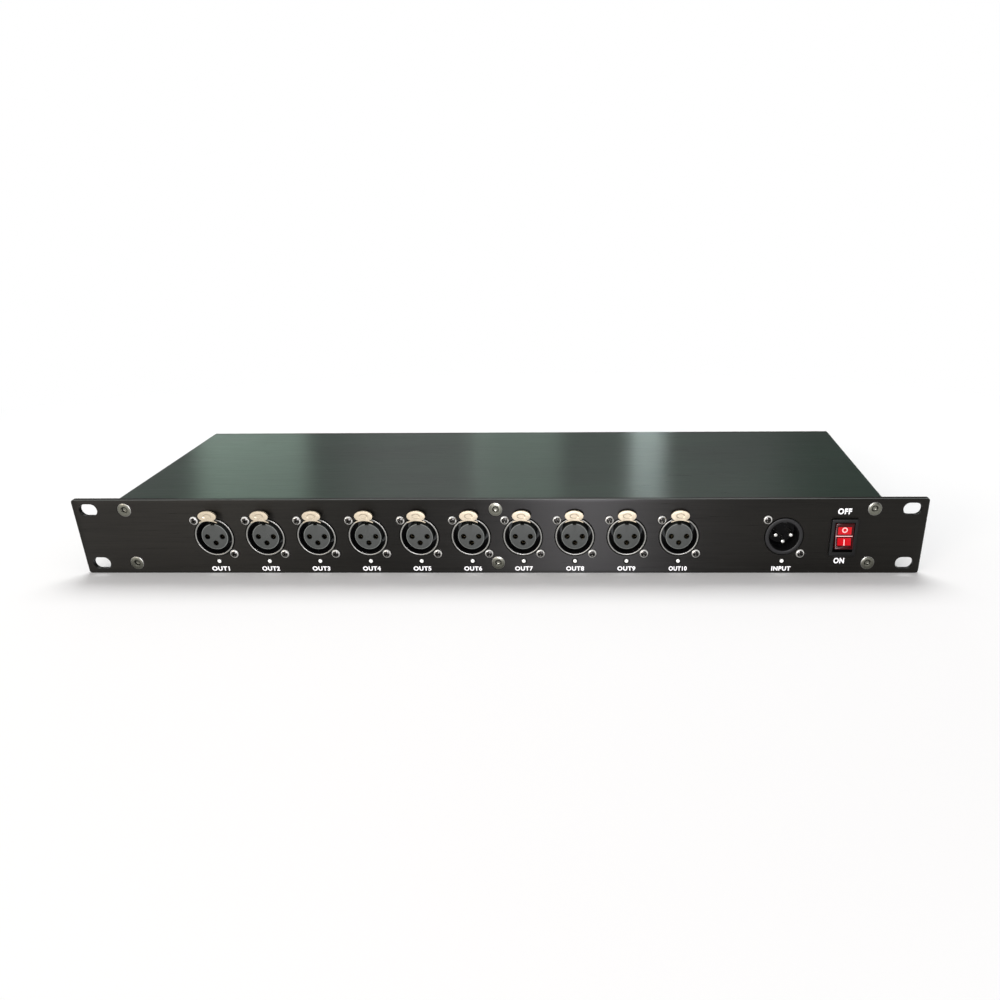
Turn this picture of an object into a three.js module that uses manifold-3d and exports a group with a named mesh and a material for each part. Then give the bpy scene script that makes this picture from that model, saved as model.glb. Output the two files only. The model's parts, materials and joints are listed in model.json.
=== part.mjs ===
// A ten-way lighting signal splitter in a one-unit rack case, in millimetres with +Z up.
// Its front looks along -Y. The origin is the middle of its footprint, on the surface it stands on.
import * as THREE from 'three';
import { mergeVertices } from 'three/addons/utils/BufferGeometryUtils.js';
import Module from 'manifold-3d';

const wasm = await Module();
wasm.setup();

// Fits shared by every piece: cutting shapes run past what they cut, and joined ones into each other,
// by the overrun
const overrun = 1;
const seat = 0.2;
const holeGap = 0.2;
const runningGap = 0.35;
const roundSides = 16;
const headSides = 10;
const smallSides = 8;
const shankSides = 6;

// Connector bore, ring and flange
const boreRadius = 10;
const annulusGap = 2.4;
const ringWall = 1.2;
const ringProud = 0.5;
const rimBevel = 0.5;
const cutoutGap = 0.3;
const fixingWeb = 0.8;
const fixingShank = 1.5;
const fixingHead = 2.5;
const fixingHeadHeight = 1.4;
const flangeEdge = 2.8;
const flangeCorner = 2;
const flangeGap = 4.2;
const flangeThickness = 2;
const barrelLength = 16;
const insertRecess = 0.3;
const insertBase = 3;
const contactSpread = 4.33;
const contactDrop = 3.75;
const contactBore = 1.2;
const contactDepth = 12;
const keyHalfWidth = 1.1;
const keyDepth = 0.8;
const solderGap = 1;
const solderPin = 0.5;

// Latch of each output
const tabProud = 5.2;
const tabThickness = 1.4;
const tabHalfWidth = 5.15;
const tabHalfHeight = 3;
const tabFootRise = 0.9;
const tabPlugGap = 1.1;
const tabFootToCentre = 2.8;
const tabFootHalfWidth = 4;
const tabFootHeight = 0.6;
const stemHalfHeight = 1.4;
const stemDrop = 0.7;
const notchBehindFlange = 1;
const latchArmHalfWidth = 2.2;
const latchPivotBehind = 2.3;
const latchPivotAboveFoot = 4.6;
const latchPivotRadius = 0.7;
const latchPivotReach = 1.7;
const latchPivotGap = 0.2;
const latchArmTopAbovePivot = 1.5;
const latchHeadroom = 1.05;
const latchShoulder = 2.4;
const latchToothBehind = 8.6;
const latchToothLength = 1.6;
const latchToothSlope = 1;
const latchToothDip = 0.7;
const latchArmRise = 2;
const latchThrowDegrees = 7;
const housingHalfWidth = 6.5;
const housingRoof = 0.4;
const housingBackWall = 1;

// Input plug in its cup
const cupRadius = 8.4;
const cupWall = 2.35;
const cupDepth = 13;
const inputPin = 1.2;
const inputPinRecess = 2;

// Panels, case shells and the screws that hold them
const outputCount = 10;
const emptyPlaces = 1;
const panelThickness = 3;
const rearThickness = 3;
const panelCorner = 1.7;
const panelLip = 1;
const earWidth = 24.3;
const slotEndMargin = 8.75;
const slotHalfLength = 5.1;
const slotRadius = 3.5;
const shellLength = 153.6;
const shellWall = 1.6;
const shellCorner = 1.5;
const shellHeadroom = 0.95;
const seamHalfGap = 0.15;
const tongueHeight = 2;
const tongueThickness = 0.75;
const tongueGap = 0.15;
const cornerInset = 3.6;
const panelShank = 1.5;
const panelHead = 3.9;
const panelHeadRecess = 0.1;
const panelScrewLength = 12;
const hexRadius = 1.45;
const hexDepth = 1.5;
const threadGap = 0.15;
const panelHole = 2.2;
const countersinkGap = 0.2;
const channelWall = 1.3;
const channelGap = 0.225;

// Mains switch
const switchGap = 13;
const switchScrewGap = 4.4;
const bezelProud = 2;
const bezelOverlap = 1;
const switchWall = 0.9;
const switchDepth = 13;
const terminalHalfWidth = 2.4;
const terminalHalfThickness = 0.4;
const terminalLength = 7;
const terminalOffset = 4;
const rockerHalfWidth = 5.25;
const rockerHalfHeight = 7.3;
const rockerReach = 6;
const rockerDip = 1.1;
const rockerSkirt = 2.6;
const rockerHub = 2.6;
const rockerNib = 1.1;
const rockerNibGap = 0.2;
const rockerPivotDepth = 2.6;
const rockerFloorGap = 1;
const rockerThrowDegrees = 11;

// Circuit boards and what they carry
const boardThickness = 1.6;
const boardEnd = 13;
const boardFloorGap = 1.2;
const channelClearance = 0.5;
const lampRadius = 1.5;
const lampProud = 0.4;
const lampGap = 0.4;
const lampLength = 6;
const lampLegHalfWidth = 1;
const lampLegHalfHeight = 0.3;
const headerHalfWidth = 12;
const headerDepth = 6;
const headerHalfHeight = 3;
const headerX = -50;
const ribbonThickness = 1.2;
const ribbonHalfWidth = 10;
const driverGap = 18;
const driverCentre = -50;
const driverHalfWidth = 100;
const driverDepth = 60;
const driverHeaderInset = 3;
const chipHalfWidth = 3.2;
const chipHalfLength = 4.7;
const chipHeight = 3.4;
const chipFirstRow = 22;
const chipSecondRow = 42;
const postRadius = 2.6;
const postInset = 4;

// Power supply
const supplyGap = 22;
const supplyWidth = 70;
const supplyDepth = 70;
const supplyFrontGap = 22;
const terminalBlockHalf = 9;
const terminalBlockDepth = 8;
const terminalBlockHeight = 9;
const transformerHalf = 10;
const transformerHeight = 17;
const capacitorRadius = 6;
const capacitorHeight = 20;
const heatSinkHalfLength = 14;
const heatSinkThickness = 2;
const heatSinkHeight = 18;
const supplyPartGap = 5;

// Mains inlet
const inletScrewGap = 2.9;
const inletFlangeHalfWidth = 25;
const inletFlangeHalfHeight = 12;
const inletFlangeThickness = 2.5;
const inletScrewSpread = 20;
const inletBodyHalfWidth = 13.6;
const inletBodyHalfHeight = 10;
const inletBodyDepth = 18;
const inletWall = 1.6;
const inletCavityDepth = 13;
const inletPinSpread = 7;
const inletPinRise = 2;
const inletPinHalfWidth = 1;
const inletPinHalfHeight = 2;
const inletPinRecess = 1;
const inletNut = 3.1;
const inletNutHeight = 2.4;
const inletScrewTail = 1.2;

// Wiring
const leadRadius = 1.2;
const leadSides = 6;
const leadSteps = 10;
const leadRise = 3;
const leadCornerGap = 6;
const lugRadius = 4.5;
const lugThickness = 1;
const lugScrewHead = 2.8;
const lugScrewHeight = 1.8;
const lugFromInlet = 28;

// Places that follow from the sizes above
const ringRadius = boreRadius + ringWall;
const cutoutRadius = ringRadius + cutoutGap;
const insertRadius = boreRadius - annulusGap;
const fixingHole = fixingShank + holeGap;
const fixingOffset = (cutoutRadius + fixingWeb + fixingHole) / Math.SQRT2;
const flangeHalf = fixingOffset + flangeEdge;
const flangeFront = panelThickness + seat;
const flangeBack = flangeFront + flangeThickness;
const barrelBack = flangeBack + barrelLength;
const baseFront = barrelBack - insertBase;
const pitch = 2 * flangeHalf + flangeGap;
const places = outputCount + emptyPlaces + 1;
const placeX = (index) => (index - (places - 1) / 2) * pitch;
const inputX = placeX(places - 1);

const tabFoot = boreRadius + tabFootRise;
const tabCentre = tabFoot + tabFootToCentre;
const tabBack = tabThickness - tabProud;
const stemTop = tabCentre - stemDrop + stemHalfHeight;
const stemFoot = tabCentre - stemDrop - stemHalfHeight;
const notchTop = stemTop + runningGap;
const notchBack = flangeBack + notchBehindFlange;
const latchPivotY = flangeBack + latchPivotBehind;
const latchPivotZ = tabFoot + latchPivotAboveFoot;
const latchArmTop = latchPivotZ + latchArmTopAbovePivot;
const latchSlot = latchArmHalfWidth + runningGap;
const latchSlotTop = latchArmTop + latchHeadroom;
const latchToothFront = flangeBack + latchToothBehind - latchToothLength;
const latchToothBack = flangeBack + latchToothBehind;
const latchToothBottom = boreRadius - latchToothDip;
const latchThrow = THREE.MathUtils.degToRad(latchThrowDegrees);
const toothReach = Math.hypot(latchToothBack - latchPivotY, latchPivotZ - latchToothBottom);
const toothAngle = Math.atan2(latchPivotZ - latchToothBottom, latchToothBack - latchPivotY);
const latchSwingBack = latchPivotY + toothReach * Math.cos(toothAngle - latchThrow);
const latchSlotBack = latchSwingBack + runningGap;
const housingTop = latchSlotTop + housingRoof;
const housingBack = latchSlotBack + housingBackWall;

const rockerThrow = THREE.MathUtils.degToRad(rockerThrowDegrees);
const rockerCorner = Math.hypot(rockerReach, rockerHalfHeight);
const rockerCornerAngle = Math.atan2(rockerHalfHeight, rockerReach);
const openingHalfHeight = rockerCorner * Math.sin(rockerCornerAngle + rockerThrow) + runningGap;
const openingHalfWidth = rockerHalfWidth + runningGap;
const switchHalfWidth = openingHalfWidth + switchWall;
const switchHalfHeight = openingHalfHeight + switchWall;
const bezelHalfWidth = switchHalfWidth + bezelOverlap;
const bezelHalfHeight = switchHalfHeight + bezelOverlap;
const switchX = inputX + flangeHalf + switchGap + bezelHalfWidth;

const channelBore = panelShank + threadGap;
const channelRadius = channelBore + channelWall;
const railZ = flangeHalf + channelGap + channelRadius;
const cornerX = switchX + bezelHalfWidth + switchScrewGap + panelHead;
const screwColumns = { left: -cornerX, middle: 0, right: cornerX };
const screwRows = { top: railZ, bottom: -railZ };
const caseHalfWidth = cornerX + cornerInset + shellWall;
const caseInnerHalf = housingTop + shellHeadroom;
const caseHalfHeight = caseInnerHalf + shellWall;
const panelHalfHeight = caseHalfHeight + panelLip;
const panelHalfWidth = caseHalfWidth + earWidth;
const slotX = panelHalfWidth - slotEndMargin;
const shellFront = panelThickness + seat;
const shellBack = shellFront + shellLength;
const rearInner = shellBack + seat;
const rearOuter = rearInner + rearThickness;

const lampZ = -(flangeHalf + lampGap + lampRadius);
const boardFront = barrelBack + solderGap;
const boardBack = boardFront + boardThickness;
const boardBottom = -(caseInnerHalf - boardFloorGap);
const channelTop = -(railZ - channelRadius);
const deckBottom = channelTop + channelClearance;
const deckTop = deckBottom + boardThickness;
const driverFront = boardBack + driverGap;
const driverBack = driverFront + driverDepth;
const driverLeft = driverCentre - driverHalfWidth;
const driverRight = driverCentre + driverHalfWidth;
const supplyLeft = driverRight + supplyGap;
const supplyRight = supplyLeft + supplyWidth;
const supplyFront = boardBack + supplyFrontGap;
const supplyBack = supplyFront + supplyDepth;
const supplyMiddle = (supplyFront + supplyBack) / 2;
const blockZ = deckTop + terminalBlockHeight / 2;

const inletX = cornerX - panelHead - inletScrewGap - inletFlangeHalfWidth;
const inletFace = inletFlangeThickness + seat;
const inletTerminalEnd = rearOuter - inletBodyDepth - terminalLength;

// Turning shapes into solids, and solids into geometry
function solidOf(geometry) {
  const bare = geometry.clone();
  bare.deleteAttribute('normal');
  bare.deleteAttribute('uv');
  const merged = mergeVertices(bare);
  const corners = merged.index.array;
  const kept = [];
  for (let i = 0; i < corners.length; i += 3) {
    const [a, b, c] = corners.slice(i, i + 3);
    if (a !== b && b !== c && c !== a) kept.push(a, b, c);
  }
  const mesh = new wasm.Mesh({
    numProp: 3,
    vertProperties: new Float32Array(merged.attributes.position.array),
    triVerts: new Uint32Array(kept),
  });
  return new wasm.Manifold(mesh);
}

function geometryOf(solid) {
  const mesh = solid.getMesh();
  const geometry = new THREE.BufferGeometry();
  geometry.setAttribute('position', new THREE.BufferAttribute(mesh.vertProperties, 3));
  geometry.setIndex(new THREE.BufferAttribute(mesh.triVerts, 1));
  return geometry;
}

function joined(...solids) {
  return solids.reduce((sum, solid) => sum.add(solid));
}

function cutBy(solid, ...tools) {
  return solid.subtract(joined(...tools));
}

// A block between two corners
function block(x0, x1, y0, y1, z0, z1) {
  const geometry = new THREE.BoxGeometry(x1 - x0, y1 - y0, z1 - z0);
  return solidOf(geometry.translate((x0 + x1) / 2, (y0 + y1) / 2, (z0 + z1) / 2));
}

// A block round a middle in X and Z
function pad(x, z, halfWidth, halfHeight, y0, y1) {
  return block(x - halfWidth, x + halfWidth, y0, y1, z - halfHeight, z + halfHeight);
}

// A round bar from front to back
function rod(radius, y0, y1, x = 0, z = 0, sides = roundSides) {
  const geometry = new THREE.CylinderGeometry(radius, radius, y1 - y0, sides);
  return solidOf(geometry.translate(x, (y0 + y1) / 2, z));
}

// A round bar from side to side
function axle(radius, halfLength, y, z, sides = shankSides) {
  const geometry = new THREE.CylinderGeometry(radius, radius, 2 * halfLength, sides);
  return solidOf(geometry.rotateZ(Math.PI / 2).translate(0, y, z));
}

// A round bar standing up
function post(radius, z0, z1, x, y, sides = smallSides) {
  const geometry = new THREE.CylinderGeometry(radius, radius, z1 - z0, sides);
  return solidOf(geometry.rotateX(Math.PI / 2).translate(x, y, (z0 + z1) / 2));
}

// An outline drawn as seen from the front, run from front to back
function plate(shape, y0, y1, curveSegments = 3) {
  const geometry = new THREE.ExtrudeGeometry(shape, {
    depth: y1 - y0,
    bevelEnabled: false,
    curveSegments,
  });
  return solidOf(geometry.rotateX(Math.PI / 2).translate(0, y1, 0));
}

// An outline drawn as depth and height, run from side to side
function rib(points, halfWidth) {
  const geometry = new THREE.ExtrudeGeometry(new THREE.Shape(points), {
    depth: 2 * halfWidth,
    bevelEnabled: false,
  });
  const sideways = new THREE.Matrix4().makeBasis(
    new THREE.Vector3(0, 1, 0),
    new THREE.Vector3(0, 0, 1),
    new THREE.Vector3(1, 0, 0),
  );
  return solidOf(geometry.applyMatrix4(sideways).translate(-halfWidth, 0, 0));
}

// A turned solid about the front-to-back axis, from pairs of radius and depth
function turned(pairs, x = 0, z = 0, sides = roundSides) {
  const points = pairs.map(([radius, depth]) => new THREE.Vector2(radius, depth));
  return solidOf(new THREE.LatheGeometry(points, sides).translate(x, 0, z));
}

function roundedRectangle(halfWidth, halfHeight, corner, x = 0, z = 0) {
  const shape = new THREE.Shape();
  const innerX = halfWidth - corner;
  const innerZ = halfHeight - corner;
  shape.absarc(x + innerX, z + innerZ, corner, 0, Math.PI / 2);
  shape.absarc(x - innerX, z + innerZ, corner, Math.PI / 2, Math.PI);
  shape.absarc(x - innerX, z - innerZ, corner, Math.PI, 1.5 * Math.PI);
  shape.absarc(x + innerX, z - innerZ, corner, 1.5 * Math.PI, 2 * Math.PI);
  return shape;
}

// Colours and finishes
function finish(color, roughness, metalness) {
  return new THREE.MeshStandardMaterial({ color, roughness, metalness, flatShading: true });
}
const anodised = () => finish('#2b2d2c', 0.45, 0.8);
const bareScrew = () => finish('#b7b09c', 0.35, 1);
const darkPlastic = () => finish('#1c1d1d', 0.5, 0);
const greyPlastic = () => finish('#4b4e4c', 0.6, 0);
const latchMetal = () => finish('#cfc6a8', 0.35, 1);
const boardGreen = () => finish('#1f5a38', 0.6, 0);
const rockerRed = () => finish('#c4202b', 0.3, 0);

const model = new THREE.Group();

function addPiece(parent, name, geometry, material) {
  const mesh = new THREE.Mesh(geometry, material);
  mesh.name = name;
  parent.add(mesh);
  return mesh;
}

// The gap in panel, ring and flange that the stem of the latch passes through
function latchNotch(y0, y1) {
  return block(-latchSlot, latchSlot, y0, y1, insertRadius, notchTop);
}

function fixingPlaces() {
  return [[-fixingOffset, fixingOffset], [fixingOffset, -fixingOffset]];
}

// Front panel: one plate with two rack ears and every hole in it
function countersunkHole(x, z) {
  const coneEnd = panelHead + countersinkGap - panelHole;
  const wide = panelHead + countersinkGap + overrun;
  const profile = [
    [0, -overrun],
    [wide, -overrun],
    [panelHole, coneEnd],
    [panelHole, panelThickness + rearThickness],
    [0, panelThickness + rearThickness],
  ];
  return turned(profile, x, z, headSides);
}

function cornerScrewPlaces() {
  return Object.values(screwColumns).flatMap((x) => Object.values(screwRows).map((z) => [x, z]));
}

function rackSlot(x, z) {
  const shape = roundedRectangle(slotHalfLength, slotRadius, slotRadius, x, z);
  return plate(shape, -overrun, panelThickness + overrun);
}

function makeFrontPanel() {
  const through = panelThickness + overrun;
  const cutters = [];
  for (let index = 0; index < places; index += 1) {
    const isInput = index === places - 1;
    if (index >= outputCount && !isInput) continue;
    const x = placeX(index);
    const radius = isInput ? cupRadius + cupWall + cutoutGap : cutoutRadius;
    cutters.push(rod(radius, -overrun, through, x));
    cutters.push(rod(lampRadius + holeGap, -overrun, through, x, lampZ, shankSides));
    if (!isInput) cutters.push(latchNotch(-overrun, through).translate([x, 0, 0]));
    for (const [dx, dz] of fixingPlaces()) {
      cutters.push(rod(fixingHole, -overrun, through, x + dx, dz, shankSides));
    }
  }
  for (const [x, z] of cornerScrewPlaces()) cutters.push(countersunkHole(x, z));
  for (const side of [-1, 1]) {
    for (const z of Object.values(screwRows)) cutters.push(rackSlot(side * slotX, z));
  }
  cutters.push(pad(switchX, 0, switchHalfWidth + holeGap, switchHalfHeight + holeGap, -overrun, through));
  const blank = plate(roundedRectangle(panelHalfWidth, panelHalfHeight, panelCorner), 0, panelThickness);
  return geometryOf(cutBy(blank, ...cutters));
}
addPiece(model, 'front_panel', makeFrontPanel(), anodised());

// Case shells: two extruded halves, each with three screw channels, lapped at the side seam
function shellOutline(lapX, lapZ, flip) {
  const shape = new THREE.Shape();
  const outer = caseHalfWidth;
  const inner = caseHalfWidth - shellWall;
  const ceiling = caseInnerHalf;
  const cornerMiddleX = outer - shellCorner;
  const cornerMiddleZ = caseHalfHeight - shellCorner;
  const right = [];
  const arc = (x, z, radius, from, to) => {
    const curve = new THREE.EllipseCurve(x, z, radius, radius, from, to, to < from);
    return curve.getPoints(smallSides / 2);
  };
  right.push(...arc(cornerMiddleX, cornerMiddleZ, shellCorner, Math.PI / 2, 0));
  right.push(new THREE.Vector2(outer, seamHalfGap));
  right.push(new THREE.Vector2(outer - lapX, seamHalfGap));
  right.push(new THREE.Vector2(outer - lapX, lapZ));
  right.push(new THREE.Vector2(inner, lapZ));
  right.push(new THREE.Vector2(inner, railZ - channelRadius));
  right.push(...arc(cornerX, railZ, channelRadius, -Math.PI / 2, -Math.PI));
  right.push(new THREE.Vector2(cornerX - channelRadius, ceiling));
  right.push(new THREE.Vector2(channelRadius, ceiling));
  right.push(...arc(0, railZ, channelRadius, 0, -Math.PI / 2));
  const left = right.slice(0, -1).reverse().map((point) => new THREE.Vector2(-point.x, point.y));
  const outline = [...right, ...left].map((point) => new THREE.Vector2(point.x, flip * point.y));
  shape.setFromPoints(outline);
  return shape;
}

function makeShell(lapX, lapZ, flip) {
  const walls = plate(shellOutline(lapX, lapZ, flip), shellFront, shellBack);
  const bores = Object.values(screwColumns).map((x) => (
    rod(channelBore, shellFront - overrun, shellBack + overrun, x, flip * railZ, headSides)
  ));
  return cutBy(walls, ...bores);
}

function deckPosts(left, right, front, back) {
  const floor = -caseInnerHalf - shellWall / 2;
  const corners = [];
  for (const x of [left + postInset, right - postInset]) {
    for (const y of [front + postInset, back - postInset]) {
      corners.push(post(postRadius, floor, deckBottom - seat, x, y));
    }
  }
  return joined(...corners);
}

const topShell = makeShell(shellWall - tongueThickness - tongueGap, tongueHeight + tongueGap, 1);
addPiece(model, 'top_shell', geometryOf(topShell), anodised());
const bottomShell = joined(
  makeShell(shellWall - tongueThickness, -tongueHeight, -1),
  deckPosts(driverLeft, driverRight, driverFront, driverBack),
  deckPosts(supplyLeft, supplyRight, supplyFront, supplyBack),
);
addPiece(model, 'bottom_shell', geometryOf(bottomShell), anodised());

// Countersunk hexagon-socket screws, shared by both panels
function makePanelScrew() {
  const face = panelHeadRecess;
  const profile = [
    [0, face],
    [panelHead, face],
    [panelShank, face + panelHead - panelShank],
    [panelShank, panelScrewLength],
    [0, panelScrewLength],
  ];
  const socket = rod(hexRadius, -overrun, hexDepth, 0, 0, 6);
  return geometryOf(cutBy(turned(profile, 0, 0, headSides), socket));
}
const panelScrew = makePanelScrew();

function addPanelScrews(parent, prefix) {
  for (const [rowName, z] of Object.entries(screwRows)) {
    for (const [columnName, x] of Object.entries(screwColumns)) {
      const screw = addPiece(parent, `${prefix}_screw_${rowName}_${columnName}`, panelScrew, bareScrew());
      screw.position.set(x, 0, z);
    }
  }
}
addPanelScrews(model, 'front');

// Connector shell: ring through the panel, flange behind it, barrel, and its two fixing screws
function fixingScrews() {
  const parts = [];
  for (const [x, z] of fixingPlaces()) {
    parts.push(rod(fixingHead, -seat - fixingHeadHeight, -seat, x, z, smallSides));
    parts.push(rod(fixingShank, -seat - fixingHeadHeight / 2, flangeBack - seat, x, z, shankSides));
  }
  return joined(...parts);
}

function connectorBody(ring) {
  const bevelled = [
    [0, -ringProud],
    [ring - rimBevel, -ringProud],
    [ring, rimBevel - ringProud],
    [ring, barrelBack],
    [0, barrelBack],
  ];
  const square = roundedRectangle(flangeHalf, flangeHalf, flangeCorner);
  const flange = plate(square, flangeFront, flangeBack, 1);
  return joined(turned(bevelled), flange, fixingScrews());
}

function makeOutputSocket() {
  const housing = block(-housingHalfWidth, housingHalfWidth, flangeFront, housingBack, 0, housingTop);
  const slot = block(-latchSlot, latchSlot, flangeFront - overrun, latchSlotBack, insertRadius, latchSlotTop);
  const pivotRoom = axle(
    latchPivotRadius + latchPivotGap,
    latchArmHalfWidth + latchPivotReach + latchPivotGap,
    latchPivotY,
    latchPivotZ,
  );
  return geometryOf(cutBy(
    joined(connectorBody(ringRadius), housing),
    rod(boreRadius, -ringProud - overrun, barrelBack + overrun),
    latchNotch(-ringProud - overrun, notchBack),
    slot,
    pivotRoom,
  ));
}

// Insert that holds the three contacts
function contactPlaces() {
  return [[-contactSpread, 0], [contactSpread, 0], [0, -contactDrop]];
}

function solderPins() {
  const end = boardFront - seat;
  return contactPlaces().map(([x, z]) => rod(solderPin, barrelBack - overrun, end, x, z, 4));
}

function makeOutputInsert() {
  const core = joined(
    rod(insertRadius, insertRecess, barrelBack),
    rod(boreRadius - seat, baseFront, barrelBack),
    ...solderPins(),
  );
  const bores = contactPlaces().map(([x, z]) => (
    rod(contactBore, insertRecess - overrun, contactDepth, x, z, shankSides)
  ));
  const key = block(
    -keyHalfWidth,
    keyHalfWidth,
    insertRecess - overrun,
    contactDepth,
    insertRadius - keyDepth,
    insertRadius + overrun,
  );
  return geometryOf(cutBy(core, key, ...bores));
}

// Latch: an oval push tab in front, whose two feet follow the plug, a stem through the panel,
// an arm that rocks on its pivot, and the tooth that holds a plug
function tabOutline() {
  const shape = new THREE.Shape();
  const plugReach = boreRadius + tabPlugGap;
  const footTurn = Math.acos(tabFootHalfWidth / plugReach);
  const footTop = plugReach * Math.sin(footTurn) + tabFootHeight;
  const ovalTurn = Math.asin((footTop - tabCentre) / tabHalfHeight);
  shape.absarc(0, 0, plugReach, Math.PI - footTurn, footTurn, true);
  shape.lineTo(tabFootHalfWidth, footTop);
  shape.absellipse(0, tabCentre, tabHalfWidth, tabHalfHeight, ovalTurn, Math.PI - ovalTurn);
  shape.lineTo(-tabFootHalfWidth, footTop);
  return shape;
}

function makeLatch() {
  const tab = plate(tabOutline(), -tabProud, tabBack, 5);
  const inside = tabBack - tabThickness / 2;
  const armFoot = boreRadius + runningGap;
  const arm = rib([
    new THREE.Vector2(inside, stemFoot),
    new THREE.Vector2(flangeFront, armFoot),
    new THREE.Vector2(latchToothFront - latchToothSlope, armFoot),
    new THREE.Vector2(latchToothFront, latchToothBottom),
    new THREE.Vector2(latchToothBack, latchToothBottom),
    new THREE.Vector2(latchToothBack, boreRadius + latchArmRise),
    new THREE.Vector2(latchPivotY + latchShoulder, latchArmTop),
    new THREE.Vector2(latchPivotY - latchShoulder, latchArmTop),
    new THREE.Vector2(flangeFront, stemTop),
    new THREE.Vector2(inside, stemTop),
  ], latchArmHalfWidth);
  const pivot = axle(latchPivotRadius, latchArmHalfWidth + latchPivotReach, latchPivotY, latchPivotZ);
  return geometryOf(joined(tab, arm, pivot));
}

const outputSocket = makeOutputSocket();
const outputInsert = makeOutputInsert();
const outputLatch = makeLatch();
for (let index = 0; index < outputCount; index += 1) {
  const place = new THREE.Group();
  place.position.x = placeX(index);
  model.add(place);
  addPiece(place, `output_socket_${index + 1}`, outputSocket, darkPlastic());
  addPiece(place, `output_insert_${index + 1}`, outputInsert, greyPlastic());
  addPiece(place, `output_latch_${index + 1}`, outputLatch, latchMetal());
}

// Input connector: a cup with three pins standing in it
function makeInputSocket() {
  const body = connectorBody(cupRadius + cupWall);
  return geometryOf(cutBy(body, rod(cupRadius, -ringProud - overrun, barrelBack + overrun)));
}

function makeInputInsert() {
  const pins = contactPlaces().map(([x, z]) => (
    rod(inputPin, inputPinRecess, cupDepth + overrun, x, z, smallSides)
  ));
  return geometryOf(joined(rod(cupRadius - seat, cupDepth, barrelBack), ...pins, ...solderPins()));
}

const inputPlace = new THREE.Group();
inputPlace.position.x = inputX;
model.add(inputPlace);
addPiece(inputPlace, 'input_socket', makeInputSocket(), darkPlastic());
addPiece(inputPlace, 'input_insert', makeInputInsert(), greyPlastic());

// Mains switch: a snap-in housing and the rocker that tilts in it
function makeSwitchHousing() {
  const bezel = plate(
    roundedRectangle(bezelHalfWidth, bezelHalfHeight, switchWall),
    -bezelProud,
    -seat,
    1,
  );
  const body = pad(0, 0, switchHalfWidth, switchHalfHeight, -bezelProud / 2, switchDepth);
  const terminalEnd = switchDepth + terminalLength;
  const terminals = [-terminalOffset, terminalOffset].map((z) => (
    pad(0, z, terminalHalfWidth, terminalHalfThickness, switchDepth - overrun, terminalEnd)
  ));
  const roomDepth = rockerPivotDepth + rockerHub + rockerFloorGap;
  const room = pad(0, 0, openingHalfWidth, openingHalfHeight, -bezelProud - overrun, roomDepth);
  const nibRoom = axle(rockerNib + rockerNibGap, switchHalfWidth + overrun, rockerPivotDepth, 0);
  return geometryOf(cutBy(joined(bezel, body, ...terminals), room, nibRoom));
}

function makeRocker() {
  const skirt = rockerReach - rockerSkirt;
  const cap = rib([
    new THREE.Vector2(rockerDip - rockerReach, 0),
    new THREE.Vector2(-rockerReach, -rockerHalfHeight),
    new THREE.Vector2(-skirt, -rockerHalfHeight),
    new THREE.Vector2(0, -rockerHub),
    new THREE.Vector2(0, rockerHub),
    new THREE.Vector2(-skirt, rockerHalfHeight),
    new THREE.Vector2(-rockerReach, rockerHalfHeight),
  ], rockerHalfWidth);
  const hub = axle(rockerHub, rockerHalfWidth, 0, 0);
  const nibs = axle(rockerNib, switchHalfWidth - rockerNibGap, 0, 0);
  return geometryOf(joined(cap, hub, nibs));
}

const switchPlace = new THREE.Group();
switchPlace.position.x = switchX;
model.add(switchPlace);
addPiece(switchPlace, 'switch_housing', makeSwitchHousing(), darkPlastic());
const rocker = addPiece(switchPlace, 'switch_rocker', makeRocker(), rockerRed());
rocker.position.y = rockerPivotDepth;
rocker.rotation.x = -rockerThrow;

// Connector board: stands behind the barrels and carries the indicator lamps on their legs
function makeConnectorBoard() {
  const end = inputX + boardEnd;
  const parts = [block(-end, end, boardFront, boardBack, boardBottom, boreRadius)];
  for (let index = 0; index < places; index += 1) {
    if (index >= outputCount && index !== places - 1) continue;
    const x = placeX(index);
    const legFront = lampLength - lampProud - overrun;
    const legBack = boardFront + boardThickness / 2;
    parts.push(rod(lampRadius, -lampProud, lampLength - lampProud, x, lampZ, shankSides));
    parts.push(pad(x, lampZ, lampLegHalfWidth, lampLegHalfHeight, legFront, legBack));
  }
  const sunk = boardBack - boardThickness / 2;
  parts.push(pad(headerX, 0, headerHalfWidth, headerHalfHeight, sunk, boardBack + headerDepth));
  const notchHalf = channelRadius + channelClearance;
  const notch = block(
    -notchHalf,
    notchHalf,
    boardFront - overrun,
    boardBack + overrun,
    boardBottom - overrun,
    deckBottom,
  );
  return geometryOf(cutBy(joined(...parts), notch));
}
addPiece(model, 'connector_board', makeConnectorBoard(), boardGreen());

// Driver board: one isolator and one line driver for each output
function deckPart(x, y, halfWidth, halfLength, height) {
  const sunk = deckTop - boardThickness / 2;
  return block(x - halfWidth, x + halfWidth, y - halfLength, y + halfLength, sunk, deckTop + height);
}

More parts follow.
